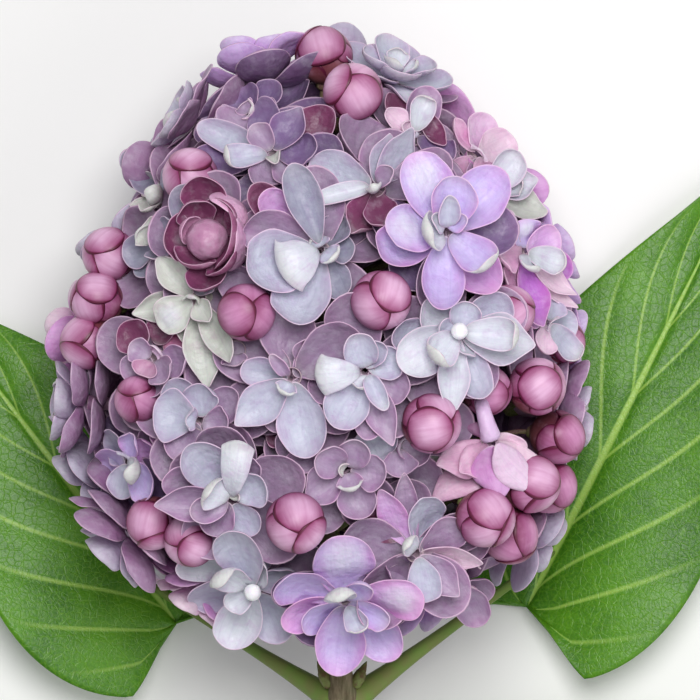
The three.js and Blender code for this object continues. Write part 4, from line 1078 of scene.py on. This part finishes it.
# Each petal's place round the bud and down from its tip, how far it reaches to each side and up and
# down, in degrees, and how far out it lies as a share of the radius
BUD_PETALS = [
    (18, 40, 52, 50, 1.02), (150, 48, 62, 56, 1.0), (268, 46, 60, 56, 0.98), (80, 72, 48, 40, 0.96),
    (212, 82, 44, 36, 0.95), (330, 84, 44, 36, 0.94), (70, 122, 66, 42, 0.93), (190, 122, 66, 42, 0.92),
    (310, 122, 66, 42, 0.91),
]
GROOVE, NOD = 0.02, 0.4  # how deep the seams lie, and how far the tip leans over
BUD_WALL, BUD_GRID, TIP_NARROWS, LONGER = 0.3, 5, 0.3, 0.06  # wall in mm, and steps along and across a petal
CORE_SHARE, CORE_SHADE_TINT = 0.88, "57142F"
for number in range(1, len(branches) + 1):
    here = [item for item in items if item["kind"] == "bud" and item["branch"] == number - 1]
    if not here:
        continue
    bm = bmesh.new()
    uv_layer = bm.loops.layers.uv.new("petal")
    tint_layer = bm.verts.layers.float_color.new("face_tint")
    for item in here:
        centre, axis, radius = item["centre"], item["axis"], item["radius"]
        u, v = cross_axes(axis, item["spin"])
        around = 5 * item["spin"]
        axis = (axis + u * NOD * math.cos(around) + v * NOD * math.sin(around)).normalized()
        u, v = cross_axes(axis, item["spin"])
        body, light, foot = [colour(c) for c in BUD_TONES[item["looks"] or "rose"]]
        for turn, down, to_sides, up_down, layer in BUD_PETALS:
            round_angle, polar = math.radians(turn), math.radians(down)
            ahead = u * math.cos(round_angle) + v * math.sin(round_angle)
            outward = axis * math.cos(polar) + ahead * math.sin(polar)
            uphill = axis * math.sin(polar) - ahead * math.cos(polar)
            sideways = outward.cross(uphill)
            for vert in bmesh.ops.create_grid(bm, x_segments=BUD_GRID, y_segments=BUD_GRID, size=1)["verts"]:
                a, b = vert.co.x, vert.co.y
                for loop in vert.link_loops:
                    loop[uv_layer].uv = ((a + 1) / 2, (b + 1) / 2)
                edge = max(abs(a), abs(b))
                a, b = a * math.sqrt(1 - b * b / 2), b * math.sqrt(1 - a * a / 2)
                a *= 1 - TIP_NARROWS * smooth(0.2, 1, b)
                swing = sideways * a * math.radians(to_sides) + uphill * b * math.radians(up_down)
                spot = outward * math.cos(swing.length)
                if swing.length > 0:
                    spot += swing.normalized() * math.sin(swing.length)
                spot += axis * spot.dot(axis) * LONGER
                reach = radius * layer * (1 - GROOVE * edge ** 4)
                place = centre + spot * reach
                place.z = max(place.z, LOWEST)
                vert.co = at(place)
                # Each petal's middle is lightened as a painted highlight, more towards the bud's tip
                with_painted_highlight = mixed(body, light, (1 - edge) ** 0.8 * smooth(110, 20, down))
                vert[tint_layer] = mixed(with_painted_highlight, foot, smooth(70, 125, down - 20 * b))
        # A dark core under the petals, which shows in the gaps between them as painted shade
        core = bmesh.ops.create_icosphere(bm, subdivisions=2, radius=radius * CORE_SHARE * MM,
                                          matrix=Matrix.Translation(at(centre)))
        for vert in core["verts"]:
            vert[tint_layer] = colour(CORE_SHADE_TINT)
            vert.co.z = max(vert.co.z, LOWEST * MM)
    thicken(piece(bm, f"buds_{number:02d}", [bud_skin], [f"spray_{number:02d}"]), BUD_WALL)

# ---- Leaves ----------------------------------------------------------------------------------
# Pairs of heart-shaped blades drawn out to a point, each on its green petiole. The blade
# is smooth and bright green, quilted between its sunken veins, and paler and duller underneath.

LEAVES = [
    dict(node=-66, start=(36, -49, 3.6), end=(79.5, 38, 0.3), half=26, arch=3.2, roll=0.33, wave=1.4),
    dict(node=-66, start=(-31, -52, 4.5), end=(-80, 12, 0.3), half=25, arch=3.2, roll=-0.3, wave=1.2),
    dict(node=-112, start=(19, -103, 7), end=(80, -74, 0.3), half=22, arch=5.6, roll=0.08, wave=1.2),
    dict(node=-112, start=(-22, -107, 7), end=(-79, -88, 0.3), half=20, arch=4.8, roll=-0.08, wave=1.0),
]
BLADE_THICKNESS, BLADE_ALONG, BLADE_ACROSS = 0.45, 72, 44
VEIN_PAIRS, VEIN_RISE, VEIN_SHIFT = 7, 0.42, 0.35


def leaf_outline(t):
    return 1.12 * math.sin(math.pi * t ** 0.6) ** 0.75 * (1 - t) ** 0.3


def vein_depth(s, t):
    """How deep the blade is sunk at a place: along its midrib and along its side veins."""
    midrib = math.exp(-(abs(s) / 0.035) ** 2)
    phase = (t - VEIN_RISE * abs(s) ** 0.8) * VEIN_PAIRS + VEIN_SHIFT
    side = math.exp(-((phase - math.floor(phase) - 0.5) / 0.12) ** 2) * (1 - smooth(0.75, 1, abs(s)))
    return max(0.9 * midrib, 0.45 * side)


def leaf_finish(name, dark, mid, light, vein_tone, roughness, specular):
    """Leaf skin in patches of green, with a paler midrib and side veins and a fine net between them."""
    material, shader, add, link = finish(name, roughness, specular)
    lit_through(shader, Weight=0.08, Scale=0.001)
    apart = add("SeparateXYZ", {"Vector": add("UVMap", uv_map="blade")}).node.outputs
    place = add("TexCoord", output="Object")
    s = reckon(add, "ABSOLUTE", add("MapRange", {"Value": apart["X"], "To Min": -1.0}))
    bent = reckon(add, "MULTIPLY", reckon(add, "POWER", s, 0.8), VEIN_RISE)
    risen = reckon(add, "SUBTRACT", apart["Y"], bent)
    phase = reckon(add, "MULTIPLY_ADD", risen, float(VEIN_PAIRS), VEIN_SHIFT)
    off = reckon(add, "ABSOLUTE", reckon(add, "SUBTRACT", reckon(add, "FRACT", phase), 0.5))
    side_vein = ramp(add, off, [(0.0, 0.75), (0.035, 0.5), (0.07, 0)])
    side_vein = reckon(add, "MULTIPLY", side_vein, ramp(add, s, [(0.6, 1), (0.97, 0)]))
    midrib = ramp(add, s, [(0.0, 1), (0.02, 0.8), (0.035, 0)])
    net = add("TexVoronoi", {"Vector": place, "Scale": 620, "Randomness": 0.9}, feature="DISTANCE_TO_EDGE")
    net_lines = ramp(add, net, [(0.0, 0.35), (0.06, 0)])
    grain = speckle(add, place, 1800, 4)
    patches = ramp(add, speckle(add, place, 60, 5, Roughness=0.6), [(0.35, 0), (0.65, 1)])
    green = blend(add, patches, colour(dark), colour(mid))
    green = blend(add, ramp(add, grain, [(0.4, 0), (0.8, 0.5)]), green, colour(light))
    green = blend(add, net_lines, green, colour(light))
    link(blend(add, reckon(add, "MAXIMUM", side_vein, midrib), green, colour(vein_tone)), "Base Color")
    link(bump(add, reckon(add, "SUBTRACT", grain, net_lines), 0.35, 0.3), "Normal")
    return material


blade_top = leaf_finish("blade_top", "2F6607", "528C12", "70A624", "A0C656", 0.36, 0.4)
blade_under = leaf_finish("blade_under", "6F9A55", "83AD68", "9CBF80", "BFD6A0", 0.7, 0.2)
petiole_green = mottled("petiole_green", 0.5, 300, [(0.35, 0), (0.75, 0.6)], "7C9A48", "8F7A58", 0.3)
PETIOLE_STEPS, PETIOLE_SAG, PETIOLE_JOINT = 12, 1.2, 0.12  # the last: where along the blade it ends

for number, leaf in enumerate(LEAVES, 1):
    start, end = Vector(leaf["start"]), Vector(leaf["end"])
    length = (end - start).length
    forward = Vector((end.x - start.x, end.y - start.y, 0)).normalized()
    sideways = Vector((forward.y, -forward.x, 0))

    def blade_point(s, t):
        out = s * leaf["half"] * leaf_outline(t)
        lobe = 0.13 * length * abs(s) ** 1.5 * (1 - t) ** 3 * min(1, leaf_outline(t) / 0.6) ** 1.5
        point = start.lerp(end, t) + sideways * out - forward * lobe
        point.z += leaf["arch"] * math.sin(math.pi * t) + leaf["roll"] * out * (1 - t) + 0.06 * abs(out)
        point.z += leaf["wave"] * s * s * math.sin(11 * t + 2 * s)
        point.z += 0.35 - 0.8 * vein_depth(s, t) * smooth(0, 0.2, 1 - t)
        return point

    bm = bmesh.new()
    uv_layer = bm.loops.layers.uv.new("blade")
    verts = bmesh.ops.create_grid(bm, x_segments=BLADE_ACROSS, y_segments=BLADE_ALONG, size=1)["verts"]
    for vert in verts:
        s, t = vert.co.x, 0.99 * ((vert.co.y + 1) / 2) ** 1.3
        for loop in vert.link_loops:
            loop[uv_layer].uv = ((s + 1) / 2, t)
        point = blade_point(s, t)
        point.z = max(point.z, BLADE_THICKNESS / 2 + 0.1)
        vert.co = at(point)
    bmesh.ops.recalc_face_normals(bm, faces=bm.faces[:])
    if bm.faces[0].normal.z < 0:
        bmesh.ops.reverse_faces(bm, faces=bm.faces[:])
    made = piece(bm, f"blade_{number}", [blade_top, blade_under], [f"leaf_{number}"])
    thicken(made, BLADE_THICKNESS, offset=0, smoothed=False).material_offset = 1

    bm = bmesh.new()
    joint, blade_foot = stem_centre(leaf["node"]), blade_point(0, PETIOLE_JOINT)
    stations = []
    for k in range(PETIOLE_STEPS + 1):
        t = k / PETIOLE_STEPS
        sag = PETIOLE_SAG * math.sin(math.pi * t)
        radius = 1.7 * (1 - t) ** 4 + 1.25 * (1 - t) + 0.75 * t
        point = joint.lerp(blade_foot, t) - UP * sag * (1 - t)
        point.z = max(point.z, radius * 0.8 + 0.2)
        stations.append((point, radius if t < 1 else 0.4))
    sleeve(bm, stations, 12)
    settled(bm, 0.1)
    piece(bm, f"petiole_{number}", [petiole_green], [f"leaf_{number}"])

# ---- Table and light -------------------------------------------------------------------------
# A plain pale tabletop under soft studio light: a large overhead panel, a weaker one from the
# other side and a pale room all round.

bm = bmesh.new()
bmesh.ops.create_grid(bm, x_segments=1, y_segments=1, size=3)
floor_mesh = bpy.data.meshes.new("tabletop")
bm.to_mesh(floor_mesh)
bm.free()
tabletop, floor_shader, _, _ = finish("tabletop", 0.8, 0.1)
floor_shader.inputs["Base Color"].default_value = colour("FBFAF8")
floor_mesh.materials.append(tabletop)
floor = bpy.data.objects.new("tabletop", floor_mesh)
scene.collection.objects.link(floor)

AIM_HEIGHT = 40
# Each panel's place and size in mm, and its power
for name, place, size, power in (("key_panel", (40, 170, 620), 320, 2.85),
                                 ("fill_panel", (300, -300, 460), 500, 0.8)):
    lamp_data = bpy.data.lights.new(name, "AREA")
    lamp_data.shape, lamp_data.size, lamp_data.energy = "DISK", size * MM, power
    lamp = bpy.data.objects.new(name, lamp_data)
    lamp.location = at(Vector(place))
    lamp.rotation_euler = (at(UP * AIM_HEIGHT) - lamp.location).to_track_quat("-Z", "Y").to_euler()
    scene.collection.objects.link(lamp)
room = bpy.data.worlds.new("pale_room")
room.use_nodes = True
room.node_tree.nodes["Background"].inputs["Color"].default_value = (0.95, 0.97, 1.0, 1)
room.node_tree.nodes["Background"].inputs["Strength"].default_value = 0.3
scene.world = room
scene.view_settings.view_transform = "Standard"
